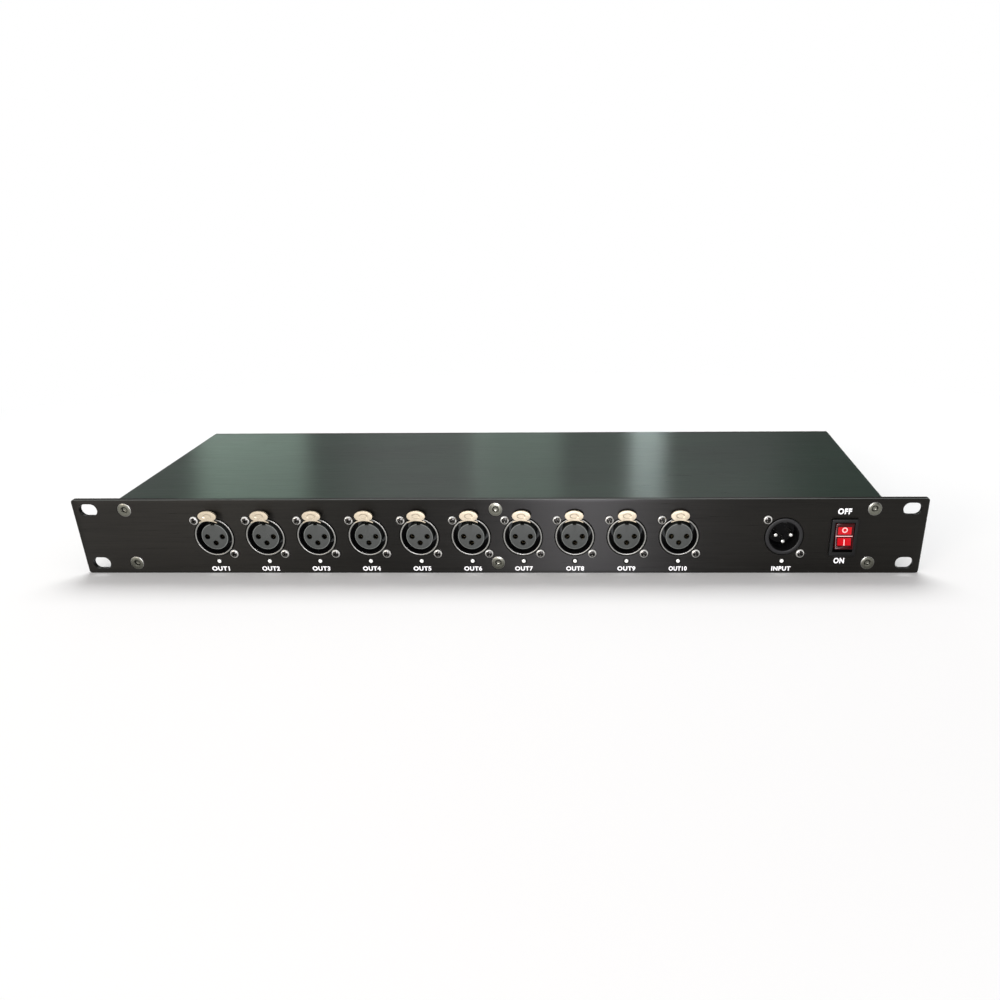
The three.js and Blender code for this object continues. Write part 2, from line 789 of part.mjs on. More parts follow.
function makeDriverBoard() {
  const parts = [block(driverLeft, driverRight, driverFront, driverBack, deckBottom, deckTop)];
  const chipPitch = (driverRight - driverLeft - 2 * terminalBlockDepth) / outputCount;
  for (let index = 0; index < outputCount; index += 1) {
    const x = driverLeft + (index + 0.5) * chipPitch;
    parts.push(deckPart(x, driverFront + chipFirstRow, chipHalfWidth, chipHalfWidth, chipHeight));
    parts.push(deckPart(x, driverFront + chipSecondRow, chipHalfWidth, chipHalfLength, chipHeight));
  }
  const headerY = driverFront + driverHeaderInset + headerHalfHeight;
  parts.push(deckPart(headerX, headerY, headerHalfWidth, headerHalfHeight, headerDepth));
  const blockX = driverRight - terminalBlockDepth / 2;
  parts.push(deckPart(blockX, supplyMiddle, terminalBlockDepth / 2, terminalBlockHalf, terminalBlockHeight));
  return geometryOf(joined(...parts));
}
addPiece(model, 'driver_board', makeDriverBoard(), boardGreen());

// Ribbon cable between the two headers
function makeRibbon() {
  const half = ribbonThickness / 2;
  const startY = boardBack + headerDepth + seat;
  const endY = driverFront + driverHeaderInset + headerHalfHeight;
  const endZ = deckTop + headerDepth + seat;
  return geometryOf(rib([
    new THREE.Vector2(startY, -half),
    new THREE.Vector2(endY - half, -half),
    new THREE.Vector2(endY - half, endZ),
    new THREE.Vector2(endY + half, endZ),
    new THREE.Vector2(endY + half, half),
    new THREE.Vector2(startY, half),
  ], ribbonHalfWidth).translate([headerX, 0, 0]));
}
addPiece(model, 'ribbon_cable', makeRibbon(), finish('#8d8f90', 0.7, 0));

// Power supply: an open board with its transformer, capacitor, heat sink and two terminal blocks
function makePowerSupply() {
  const transformerX = supplyLeft + terminalBlockDepth + supplyPartGap + transformerHalf;
  const capacitorX = supplyRight - terminalBlockDepth - supplyPartGap - capacitorRadius;
  const sinkX = supplyLeft + supplyWidth / 2;
  const half = terminalBlockDepth / 2;
  return geometryOf(joined(
    block(supplyLeft, supplyRight, supplyFront, supplyBack, deckBottom, deckTop),
    deckPart(supplyLeft + half, supplyMiddle, half, terminalBlockHalf, terminalBlockHeight),
    deckPart(supplyRight - half, supplyMiddle, half, terminalBlockHalf, terminalBlockHeight),
    deckPart(transformerX, supplyMiddle, transformerHalf, transformerHalf, transformerHeight),
    deckPart(sinkX, supplyBack - supplyPartGap, heatSinkHalfLength, heatSinkThickness, heatSinkHeight),
    post(capacitorRadius, deckBottom, deckTop + capacitorHeight, capacitorX, supplyMiddle, 2 * smallSides),
  ));
}
addPiece(model, 'power_supply', makePowerSupply(), boardGreen());

// Rear panel, seen from behind: its outer face is at zero depth and it looks back along its own -Y
const rear = new THREE.Group();
rear.position.y = rearOuter;
rear.rotation.z = Math.PI;
model.add(rear);

function makeRearPanel() {
  const through = rearThickness + overrun;
  const cutters = cornerScrewPlaces().map(([x, z]) => countersunkHole(x, z));
  const halfWidth = inletBodyHalfWidth + holeGap;
  const halfHeight = inletBodyHalfHeight + holeGap;
  cutters.push(pad(-inletX, 0, halfWidth, halfHeight, -overrun, through));
  for (const side of [-1, 1]) {
    const x = side * inletScrewSpread - inletX;
    cutters.push(rod(fixingHole, -overrun, through, x, 0, shankSides));
  }
  const blank = plate(roundedRectangle(caseHalfWidth, panelHalfHeight, panelCorner), 0, rearThickness);
  return geometryOf(cutBy(blank, ...cutters));
}
addPiece(rear, 'rear_panel', makeRearPanel(), anodised());
addPanelScrews(rear, 'rear');

// Mains inlet: flanged body with three blades, its two screws and their nuts
function makeMainsInlet() {
  const nutFront = rearThickness + seat;
  const parts = [
    plate(roundedRectangle(inletFlangeHalfWidth, inletFlangeHalfHeight, flangeCorner), -inletFace, -seat, 1),
    pad(0, 0, inletBodyHalfWidth, inletBodyHalfHeight, -inletFace / 2, inletBodyDepth),
  ];
  for (const side of [-1, 1]) {
    const x = side * inletScrewSpread;
    const tail = nutFront + inletNutHeight;
    parts.push(rod(fixingHead, -inletFace - fixingHeadHeight, -inletFace, x, 0, smallSides));
    parts.push(rod(fixingShank, -inletFace - fixingHeadHeight / 2, tail + inletScrewTail, x, 0, shankSides));
    parts.push(rod(inletNut, nutFront, tail, x, 0, 6));
  }
  const cavity = pad(
    0,
    0,
    inletBodyHalfWidth - inletWall,
    inletBodyHalfHeight - inletWall,
    -inletFace - overrun,
    inletCavityDepth,
  );
  const blades = [];
  for (const [x, z] of bladePlaces()) {
    const front = inletPinRecess - inletFace;
    const back = inletBodyDepth + terminalLength;
    blades.push(pad(x, z, inletPinHalfWidth, inletPinHalfHeight, front, inletCavityDepth + overrun));
    blades.push(pad(x, z, terminalHalfThickness, terminalHalfWidth, inletBodyDepth - overrun, back));
  }
  return geometryOf(joined(cutBy(joined(...parts), cavity), ...blades));
}

function bladePlaces() {
  return [[-inletPinSpread, -inletPinRise], [inletPinSpread, -inletPinRise], [0, inletPinRise]];
}
const inlet = addPiece(rear, 'mains_inlet', makeMainsInlet(), darkPlastic());
inlet.position.x = -inletX;

// Wiring: each lead runs from one terminal to another
function makeLead(points) {
  const circle = new THREE.Shape();
  circle.absarc(0, 0, leadRadius, 0, 2 * Math.PI);
  const path = new THREE.CatmullRomCurve3(points.map(([x, y, z]) => new THREE.Vector3(x, y, z)));
  const geometry = new THREE.ExtrudeGeometry(circle, {
    steps: leadSteps,
    extrudePath: path,
    curveSegments: leadSides / 2,
  });
  return solidOf(geometry);
}

const aisleX = (inputX + boardEnd + cornerX - channelRadius) / 2;
const aisleY = supplyMiddle;
const inletEnd = inletTerminalEnd - seat;
const switchEnd = switchDepth + terminalLength + seat;
const blockLeft = supplyLeft - seat;
const blockRight = supplyRight + seat;
const feedY = supplyMiddle - terminalBlockHalf / 2;
const returnY = supplyMiddle + terminalBlockHalf / 2;

const liveLead = makeLead([
  [inletX + inletPinSpread, inletEnd, -inletPinRise],
  [inletX + inletPinSpread, inletEnd - leadCornerGap, -inletPinRise],
  [switchX, aisleY, -terminalOffset],
  [switchX, switchEnd + leadCornerGap, -terminalOffset],
  [switchX, switchEnd, -terminalOffset],
]);
addPiece(model, 'live_lead', geometryOf(liveLead), finish('#7a4a2a', 0.6, 0));

const switchedLead = makeLead([
  [switchX, switchEnd, terminalOffset],
  [switchX, switchEnd + leadCornerGap, terminalOffset],
  [aisleX, (switchEnd + feedY) / 2, terminalOffset],
  [blockRight + leadCornerGap, feedY, blockZ],
  [blockRight, feedY, blockZ],
]);
addPiece(model, 'switched_lead', geometryOf(switchedLead), finish('#202020', 0.6, 0));

const neutralLead = makeLead([
  [inletX - inletPinSpread, inletEnd, -inletPinRise],
  [inletX - inletPinSpread, inletEnd - leadCornerGap, -inletPinRise],
  [blockRight + 2 * leadCornerGap, returnY + leadCornerGap, blockZ],
  [blockRight + leadCornerGap, returnY, blockZ],
  [blockRight, returnY, blockZ],
]);
addPiece(model, 'neutral_lead', geometryOf(neutralLead), finish('#2b4f9a', 0.6, 0));

const supplyLead = makeLead([
  [blockLeft, supplyMiddle, blockZ],
  [blockLeft - leadCornerGap, supplyMiddle, blockZ],
  [(driverRight + supplyLeft) / 2, supplyMiddle, blockZ + leadRise],
  [driverRight + seat + leadCornerGap, supplyMiddle, blockZ],
  [driverRight + seat, supplyMiddle, blockZ],
]);
addPiece(model, 'supply_lead', geometryOf(supplyLead), finish('#a02020', 0.6, 0));

// Earth lead: from the inlet's middle blade to a lug screwed to the floor of the case
const lugY = inletEnd - lugFromInlet;
const lugBottom = -caseInnerHalf + seat;
const lugTop = lugBottom + lugThickness;
const lugLeadZ = lugBottom + leadRadius;
const earthLead = joined(
  makeLead([
    [inletX, inletEnd, inletPinRise],
    [inletX, inletEnd - leadCornerGap, inletPinRise],
    [inletX, lugY + lugRadius + leadCornerGap, lugLeadZ + leadRise],
    [inletX, lugY + lugRadius + leadRise, lugLeadZ],
    [inletX, lugY + lugRadius - overrun, lugLeadZ],
  ]),
  post(lugRadius, lugBottom, lugTop, inletX, lugY),
  post(lugScrewHead, lugBottom, lugTop + lugScrewHeight, inletX, lugY),
);
addPiece(model, 'earth_lead', geometryOf(earthLead), finish('#6f8a2c', 0.6, 0));

// Set the origin under the middle of the footprint
const extent = new THREE.Box3().setFromObject(model);
model.position.set(0, -(extent.min.y + extent.max.y) / 2, -extent.min.z);
model.updateMatrixWorld(true);

const group = new THREE.Group();
group.add(model);
group.updateMatrixWorld(true);

export default group;
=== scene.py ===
"""Dresses a ten-way lighting signal splitter in its rack case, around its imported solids."""
import json
import math

import bmesh
import bpy
from mathutils import Matrix, Vector


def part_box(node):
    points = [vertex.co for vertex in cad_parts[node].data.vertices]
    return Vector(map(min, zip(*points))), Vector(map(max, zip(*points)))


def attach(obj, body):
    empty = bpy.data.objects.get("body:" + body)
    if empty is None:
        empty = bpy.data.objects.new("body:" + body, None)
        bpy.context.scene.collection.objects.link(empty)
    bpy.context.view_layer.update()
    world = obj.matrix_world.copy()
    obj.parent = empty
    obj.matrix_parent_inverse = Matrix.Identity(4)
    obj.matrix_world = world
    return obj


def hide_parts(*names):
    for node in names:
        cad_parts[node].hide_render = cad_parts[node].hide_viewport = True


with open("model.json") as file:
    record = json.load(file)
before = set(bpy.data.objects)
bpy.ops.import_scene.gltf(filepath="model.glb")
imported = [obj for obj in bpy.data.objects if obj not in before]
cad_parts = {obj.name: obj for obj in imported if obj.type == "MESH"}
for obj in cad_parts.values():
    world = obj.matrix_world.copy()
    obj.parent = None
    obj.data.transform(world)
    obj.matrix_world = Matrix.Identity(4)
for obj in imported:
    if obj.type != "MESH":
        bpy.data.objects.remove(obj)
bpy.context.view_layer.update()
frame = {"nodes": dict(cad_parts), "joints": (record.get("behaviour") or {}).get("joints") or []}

bl_info = {
    "name": "Rack signal splitter",
    "version": (1, 0, 0),
    "blender": (4, 5, 0),
    "location": "3D View > Sidebar > Splitter",
    "description": "Dresses a ten-way lighting signal splitter in a one-unit rack case",
    "category": "Object",
}

MM = 0.001
FULL_TURN = 2 * math.pi
QUARTER_TURN = math.pi / 2
OUTPUTS = 10

# Corners closer than this are one corner, and a cutter stands out of what it cuts by the overrun
WELD = 1e-7
OVERRUN = 0.2 * MM

# Steps round a ring and a small bar, and along an edge, a corner, a dome and a letter's curve
ROUND_STEPS = 64
SMALL_STEPS = 32
ARC_STEPS = 5
CORNER_STEPS = 8
DOME_STEPS = 8
LETTER_STEPS = 6
HEX_SIDES = 6

# An edge that turns further than this is shaded sharp, on the latches already at the crisp angle.
# Faces that turn less than the flat angle are one face
SHARP_ANGLE = math.radians(32)
CRISP_ANGLE = math.radians(16)
FLAT_ANGLE = math.radians(1)


def linear(code):
    """Turns an sRGB hex colour into the linear colour that shaders take."""
    channels = [int(code[i:i + 2], 16) / 255 for i in (1, 3, 5)]
    knee, slope, scale, power = 0.04045, 12.92, 1.055, 2.4
    bent = [c / slope if c <= knee else ((c + scale - 1) / scale) ** power for c in channels]
    return (*bent, 1.0)


def length(name, millimetres, description):
    return bpy.props.FloatProperty(
        name=name, description=description, default=millimetres * MM, unit="LENGTH", precision=5
    )


def tilt(name, degrees, description):
    return bpy.props.FloatProperty(
        name=name, description=description, default=math.radians(degrees), unit="ROTATION"
    )


def colour(name, code, description):
    return bpy.props.FloatVectorProperty(
        name=name, description=description, default=linear(code), size=4, min=0, max=1,
        subtype="COLOR",
    )


def amount(name, value, description):
    return bpy.props.FloatProperty(name=name, description=description, default=value, precision=3)


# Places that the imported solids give: the panel's face, its middle line and its thickness
panel_low, panel_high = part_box("front_panel")
FACE = panel_low.y
MIDDLE = (panel_low.z + panel_high.z) / 2
PANEL_THICKNESS = panel_high.y - panel_low.y


def middle_of(node):
    low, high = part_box(node)
    return (low + high) / 2


def moved(shape, x=0.0, depth=0.0, height=0.0):
    """Carries a shape built round the panel's middle to its place in the row frame."""
    bmesh.ops.translate(shape, verts=shape.verts, vec=(x, FACE + depth, MIDDLE + height))
    return shape


class PanelSizes(bpy.types.PropertyGroup):
    corner: length("Corner radius", 1.7, "Radius of the panels' corners")
    edge: length("Edge break", 0.3, "Rounding of the panels' outer edges")
    rear_drop: length("Rear drop", 1.0, "How much lower the rear panel ends, level with the case")
    hole_edge: length("Hole chamfer", 0.15, "Chamfer round the openings in the front panel")
    slot_length: length("Slot length", 10.2, "Length of a rack slot")
    slot_height: length("Slot height", 7.0, "Height of a rack slot")
    slot_inset: length("Slot inset", 8.75, "From the end of the panel to the middle of a slot")
    screw_hole: length("Screw hole", 2.2, "Radius of the clearance hole of a panel screw")
    countersink: length("Countersink", 4.1, "Radius of a countersink at the panel's face")
    lamp_hole: length("Lamp hole", 1.7, "Radius of the hole of an indicator lamp")
    fixing_hole: length("Fixing hole", 1.7, "Radius of the hole of a connector screw")
    switch_gap: length("Switch gap", 0.2, "Gap between the switch body and its opening")


class SocketSizes(bpy.types.PropertyGroup):
    bore: length("Bore", 10.0, "Radius of the bore that takes a cable plug")
    ring: length("Ring", 11.2, "Outer radius of an output socket's ring")
    proud: length("Ring proud", 0.5, "How far the ring stands out of the panel")
    rim_round: length("Rim round", 0.5, "Rounding of the ring's rim")
    # Down to this depth the ring's front gets the rim colour, a painted highlight
    worn_depth: length("Worn depth", 0.08, "How far back the coat is worn off the rim")
    cutout_gap: length("Cutout gap", 0.3, "Gap between a ring and its opening")
    flange_half: length("Flange", 12.7, "Half the side of the square flange")
    flange_corner: length("Flange corner", 2.0, "Corner radius of the flange")
    flange_front: length("Flange front", 3.2, "Depth of the flange's front face")
    flange_back: length("Flange back", 5.2, "Depth of the flange's back face")
    barrel_back: length("Barrel back", 21.2, "Depth of the barrel's back end")
    cast_edge: length("Cast edge", 0.2, "Rounding of the casting's edges behind the panel")
    fixing: length("Fixing offset", 9.9, "Sideways and upward offset of a connector screw")
    housing_half: length("Latch housing", 6.5, "Half the width of the housing over the latch")
    housing_top: length("Housing top", 18.45, "Height of the latch housing's roof")
    housing_wall: length("Housing wall", 0.4, "Wall of the latch housing")
    housing_back: length("Housing back", 15.86, "Depth of the latch housing's back")
    slot_back: length("Slot back", 14.86, "Depth of the end of the slot that the latch swings in")
    insert: length("Insert", 7.6, "Radius of the contact insert")
    insert_front: length("Insert front", 0.3, "Depth of the insert's face")
    insert_edge: length("Insert edge", 0.4, "Chamfer round the insert's face")
    insert_base: length("Insert base", 3.0, "Thickness of the base that fills the bore")
    fit: length("Insert fit", 0.2, "Gap between an insert and what it sits in")
    spread: length("Contact spread", 4.33, "Sideways offset of the outer contacts")
    drop: length("Contact drop", 3.75, "Drop of the lower contact")
    contact_bore: length("Contact bore", 1.45, "Radius of a contact hole")
    bore_edge: length("Bore edge", 0.25, "Chamfer round a contact hole")
    contact_depth: length("Contact depth", 12.0, "Depth of a contact hole")
    sleeve: length("Contact sleeve", 1.35, "Radius of the metal sleeve in a contact hole")
    sleeve_bore: length("Sleeve bore", 1.0, "Radius of the bore of a contact sleeve")
    sleeve_front: length("Sleeve front", 4.0, "Depth of a sleeve's front end")
    key_half: length("Key", 1.1, "Half the width of the key slot in the insert")
    key_depth: length("Key depth", 0.8, "Depth of the key slot in the insert")
    cup_ring: length("Input ring", 10.75, "Outer radius of the input plug's ring")
    cup: length("Input cup", 8.4, "Radius of the input plug's cup")
    cup_depth: length("Cup depth", 13.0, "Depth of the input plug's cup")
    cup_key: length("Cup key", 0.7, "Height of the key rib in the input plug's cup")
    cup_key_edge: length("Cup key edge", 0.15, "Rounding of the key rib's edges")
    cup_floor_edge: length("Cup floor edge", 0.3, "Chamfer round the floor of the input plug's cup")
    pin: length("Pin", 1.2, "Radius of an input pin")
    pin_front: length("Pin recess", 2.0, "Depth of a pin's tip behind the panel's face")
    pin_round: length("Pin tip", 0.6, "Rounding of an input pin's tip")
    solder_pin: length("Solder pin", 0.5, "Radius of a solder pin")
    solder_gap: length("Solder gap", 0.2, "Gap between a solder pin and the connector board")
    board_front: length("Board front", 22.0, "Depth of the front of the connector board")


class LatchSizes(bpy.types.PropertyGroup):
    half_width: length("Tab half width", 5.15, "Half the width of the push tab")
    half_height: length("Tab half height", 3.0, "Half the height of the push tab's oval")
    centre: length("Tab centre", 13.7, "Height of the middle of the oval")
    plug_reach: length("Plug reach", 11.1, "Radius of the tab's lower edge, which follows the plug")
    foot_half: length("Foot half width", 4.0, "Half the width of the tab's feet")
    foot_top: length("Foot top", 10.95, "Height of the top of the tab's feet")
    foot_height: length(
        "Foot height", 0.55, "Height of the band that runs round the plug under the tab"
    )
    wing_half: length("Wings", 5.0, "Half the width of the band under the tab")
    proud: length("Tab proud", 5.2, "How far the tab stands out of the panel")
    thickness: length("Tab thickness", 1.4, "Thickness of the tab")
    edge: length("Tab edge", 0.45, "Rounding of the tab's face")
    dish: length("Tab dish", 0.25, "Depth of the thumb dish in the tab's face")
    dish_share: amount("Dish share", 0.6, "Size of the thumb dish as a share of the oval")
    stem_foot: length("Stem foot", 11.6, "Height of the lower edge of the stem behind the tab")
    stem_top: length("Stem top", 14.4, "Height of the upper edge of the stem behind the tab")
    gap: length("Latch gap", 0.35, "Gap between the latch and what it moves in")
    arm_half: length("Arm", 2.2, "Half the width of the latch arm")
    pivot_depth: length("Pivot depth", 7.5, "Depth of the pivot")
    pivot_height: length("Pivot height", 15.5, "Height of the pivot")
    pivot: length("Pivot", 0.7, "Radius of the pivot")
    pivot_half: length("Pivot half length", 3.9, "Half the length of the pivot")
    tooth_front: length("Tooth front", 12.2, "Depth of the tooth's front")
    tooth_back: length("Tooth back", 13.8, "Depth of the tooth's back")
    tooth_foot: length("Tooth foot", 9.3, "Height of the tooth's lower edge")
    arm_foot: length("Arm foot", 10.35, "Height of the arm's lower edge")
    arm_back_top: length("Arm back", 12.0, "Height of the arm above the tooth")
    arm_top: length("Arm top", 17.0, "Height of the arm's upper edge")
    arm_edge: length("Arm edge", 0.15, "Rounding of the arm's edges")
    flange: length("Stem end", 3.2, "Depth at which the stem turns into the arm")
    tooth_slope: length("Tooth slope", 1.0, "Length of the slope before the tooth")
    front_shoulder: length("Front shoulder", 5.1, "Depth at which the arm's upper edge comes up")
    back_shoulder: length("Back shoulder", 9.9, "Depth at which the arm's upper edge turns down")


class ScrewSizes(bpy.types.PropertyGroup):
    head: length("Connector screw head", 2.5, "Radius of a connector screw's head")
    head_front: length("Head front", 1.6, "How far a connector screw stands out of the panel")
    head_back: length("Head seat", 0.2, "Gap under a connector screw's head")
    dome: length("Head dome", 1.0, "Height of the dome of a connector screw's head")
    # Outside this share of its radius a connector screw's head keeps the bright plated colour, a
    # painted highlight ring
    worn_share: amount(
        "Worn rim", 0.64, "Where a connector screw's bright rim starts, as a share of its head"
    )
    shank: length("Shank", 1.5, "Radius of the screw shanks")
    shank_end: length("Shank end", 5.0, "Depth of the end of a connector screw")
    cross_half: length("Cross", 1.6, "Half the length of the cross recess")
    cross_slot: length("Cross slot", 0.42, "Half the width of a slot of the cross recess")
    cross_depth: length("Cross depth", 1.3, "Depth of the cross recess")
    cross_taper_share: amount(
        "Cross taper", 0.5, "Size of the cross recess at its bottom, as a share"
    )
    panel_head: length("Panel screw head", 3.9, "Radius of a panel screw's head")
    panel_recess: length("Head recess", 0.1, "Depth of a panel screw's face")
    panel_edge: length("Head edge", 0.35, "Chamfer round a panel screw's face")
    panel_end: length("Screw end", 12.0, "Depth of the end of a panel screw")
    hexagon: length("Hexagon", 1.45, "Corner radius of the hexagon socket")
    hexagon_mouth: length(
        "Socket mouth", 1.95, "Radius of the chamfered mouth of the hexagon socket"
    )
    hexagon_depth: length("Socket depth", 1.5, "Depth of the hexagon socket")
    drill_point: length("Drill point", 0.5, "Depth of the cone at the bottom of the hexagon socket")


class SwitchSizes(bpy.types.PropertyGroup):
    bezel_proud: length("Bezel proud", 2.0, "How far the bezel stands out of the panel")
    bezel_corner: length("Bezel corner", 0.9, "Corner radius of the bezel")
    bezel_edge: length("Bezel edge", 0.45, "Rounding of the bezel's face")
    wall: length("Switch wall", 0.9, "Wall between the rocker's opening and the panel")
    lip: length("Bezel lip", 1.0, "How far the bezel laps over the panel")
    seat: length("Bezel seat", 0.2, "Gap between the bezel and the panel")
    room_depth: length("Room depth", 6.2, "Depth of the room behind the rocker")
    body_back: length("Body back", 13.0, "Depth of the switch body's back")
    body_edge: length("Body edge", 0.2, "Rounding of the switch body's edges")
    blade_back: length("Terminal end", 20.0, "Depth of the terminals' ends")
    blade_half: length("Terminal width", 2.4, "Half the width of a terminal")
    blade_thin: length("Terminal thickness", 0.4, "Half the thickness of a terminal")
    blade_offset: length("Terminal offset", 4.0, "Height of a terminal above the middle")
    bezel_low: length(
        "Bezel drop", 0.7, "How much further the bezel reaches below the switch than above it"
    )
    rocker_half: length("Rocker width", 5.25, "Half the width of the rocker")
    rocker_height: length("Rocker height", 7.3, "Half the height of the rocker")
    reach: length("Rocker reach", 6.4, "From the pivot to the rocker's corners")
    dip: length("Rocker dip", 1.1, "How far the rocker's middle lies behind its corners")
    skirt: length("Rocker skirt", 2.6, "Depth of the rocker's rim")
    hub: length("Rocker hub", 2.6, "Radius of the rocker's hub")
    hub_inset: length("Hub inset", 0.3, "How far the hub's ends lie inside the rocker's sides")
    nib: length("Rocker nib", 1.1, "Radius of the rocker's pivot nibs")
    nib_reach: length("Nib reach", 1.0, "How far a pivot nib reaches out of the rocker's side")
    rocker_edge: length("Rocker edge", 0.6, "Rounding of the rocker's edges")
    window_rim: length("Window rim", 1.3, "Dark rim round each window of the rocker")
    window_short: length("Window end", 0.7, "How much shorter each window is at the rocker's end")
    window_sink: length("Window sink", 0.12, "How deep the windows lie in the rocker")
    mark_line: length("Mark line", 0.6, "Width of the lines of the marks")
    mark_ring: length("Ring mark", 1.55, "Outer radius of the ring mark")
    mark_bar: length("Bar mark", 1.7, "Half the length of the bar mark")
    mark_proud: length("Mark proud", 0.04, "How far the marks stand off the rocker")
    mark_sink: length("Mark sink", 0.04, "How deep the marks reach into the rocker")
    mark_place: amount("Mark place", 0.47, "Place of a mark from the rocker's middle to its end")
    line_proud: length("Line proud", 0.12, "How far the line between the windows stands out")
    line_sink: length("Line sink", 0.3, "How deep the line between the windows reaches in")
    line_share: amount("Line share", 0.7, "Its width as a share of the marks' lines")
    rest: tilt("Rest tilt", -11.0, "Tilt of the rocker when it is off")


class InletSizes(bpy.types.PropertyGroup):
    flange_half: length("Flange width", 25.0, "Half the width of the inlet's flange")
    flange_height: length("Flange height", 12.0, "Half the height of the inlet's flange")
    flange_corner: length("Flange corner", 4.0, "Corner radius of the inlet's flange")
    flange: length("Flange thickness", 2.5, "Thickness of the inlet's flange")
    flange_edge: length("Flange edge", 0.4, "Rounding of the flange's face")
    seat: length("Seat", 0.2, "Gap between the flange and the rear panel")
    body_half: length("Body width", 13.6, "Half the width of the inlet's body")
    body_height: length("Body height", 10.0, "Half the height of the inlet's body")
    body_back: length("Body depth", 18.0, "Depth of the body behind the rear panel's face")
    body_edge: length("Body edge", 0.3, "Rounding of the body's edges")
    cavity_half: length("Cavity width", 12.0, "Half the width of the recess")
    cavity_height: length("Cavity height", 8.4, "Half the height of the recess")
    cavity_cut: length("Cavity chamfer", 4.0, "Cut corners of the recess")
    cavity_back: length("Cavity depth", 13.0, "Depth of the recess")
    spread: length("Blade spread", 7.0, "Sideways offset of the outer blades")
    rise: length("Blade rise", 2.0, "Offset of the blades above and below the middle")
    blade_half: length("Blade thickness", 1.0, "Half the thickness of a blade")
    blade_height: length("Blade height", 2.0, "Half the height of a blade")
    blade_recess: length("Blade recess", 1.0, "Depth of the blades' tips in the recess")
    blade_edge: length("Blade edge", 0.5, "Rounding of a blade's edges")
    tab_half: length("Terminal height", 2.4, "Half the height of a rear terminal")
    tab_thin: length("Terminal thickness", 0.4, "Half the thickness of a rear terminal")
    tab_back: length("Terminal end", 25.0, "Depth of the ends of the rear terminals")
    screw_spread: length("Screw spread", 20.0, "Sideways offset of the inlet's screws")
    nut: length("Nut", 3.1, "Corner radius of a nut")
    nut_height: length("Nut height", 2.4, "Height of a nut")
    tail: length("Screw tail", 1.2, "How far a screw reaches past its nut")


class Lettering(bpy.types.PropertyGroup):
    output_height: length("Output letters", 2.7, "Height of the letters under the outputs")
    output_width: length("Output width", 10.4, "Width of a word under an output")
    output_line: length("Output line", -19.2, "Height of the middle of the words under the outputs")
    input_width: length("Input width", 11.0, "Width of the word under the input")
    switch_height: length("Switch letters", 3.4, "Height of the letters at the switch")
    off_width: length("Off width", 7.6, "Width of the word over the switch")
    on_width: length("On width", 6.0, "Width of the word under the switch")
    off_line: length("Off line", 14.6, "Height of the middle of the word over the switch")
    on_line: length("On line", -14.4, "Height of the middle of the word under the switch")
    ink: length("Ink", 0.03, "Thickness of the printed ink")
    weight: amount("Weight", 0.04, "How bold the letters are, as a share of their size")
    spacing: amount("Letter spacing", 1.12, "Distance between letters, as a share of the usual one")
    switch_shift: length(
        "Switch words", -0.7, "How far the switch's words stand to the right of its middle"
    )


class BoardSizes(bpy.types.PropertyGroup):
    thickness: length("Board", 1.6, "Thickness of a circuit board")
    edge: length("Board edge", 0.1, "Rounding of the connector board's edges")
    lamp: length("Lamp", 1.5, "Radius of an indicator lamp")
    lamp_dome: amount("Lamp dome", 0.6, "Height of a lamp's dome as a share of its radius")
    lamp_cup: length("Lamp cup", 1.0, "Radius of the bright middle of a lamp")
    lamp_proud: length("Lamp proud", 0.4, "How far a lamp stands out of the panel")
    lamp_length: length("Lamp length", 6.0, "Length of a lamp")
    lamp_line: length("Lamp line", -14.6, "Height of the lamps")
    leg_half: length("Leg", 0.25, "Half the thickness of a lamp's leg")
    leg_gap: length("Leg gap", 1.0, "Sideways offset of a lamp's legs")
    terminal: length("Terminal block", 8.0, "Depth of a terminal block")
    sink_strip: length(
        "Heat sink strip", 8.0, "Width of the strip along the back that holds the heat sink"
    )


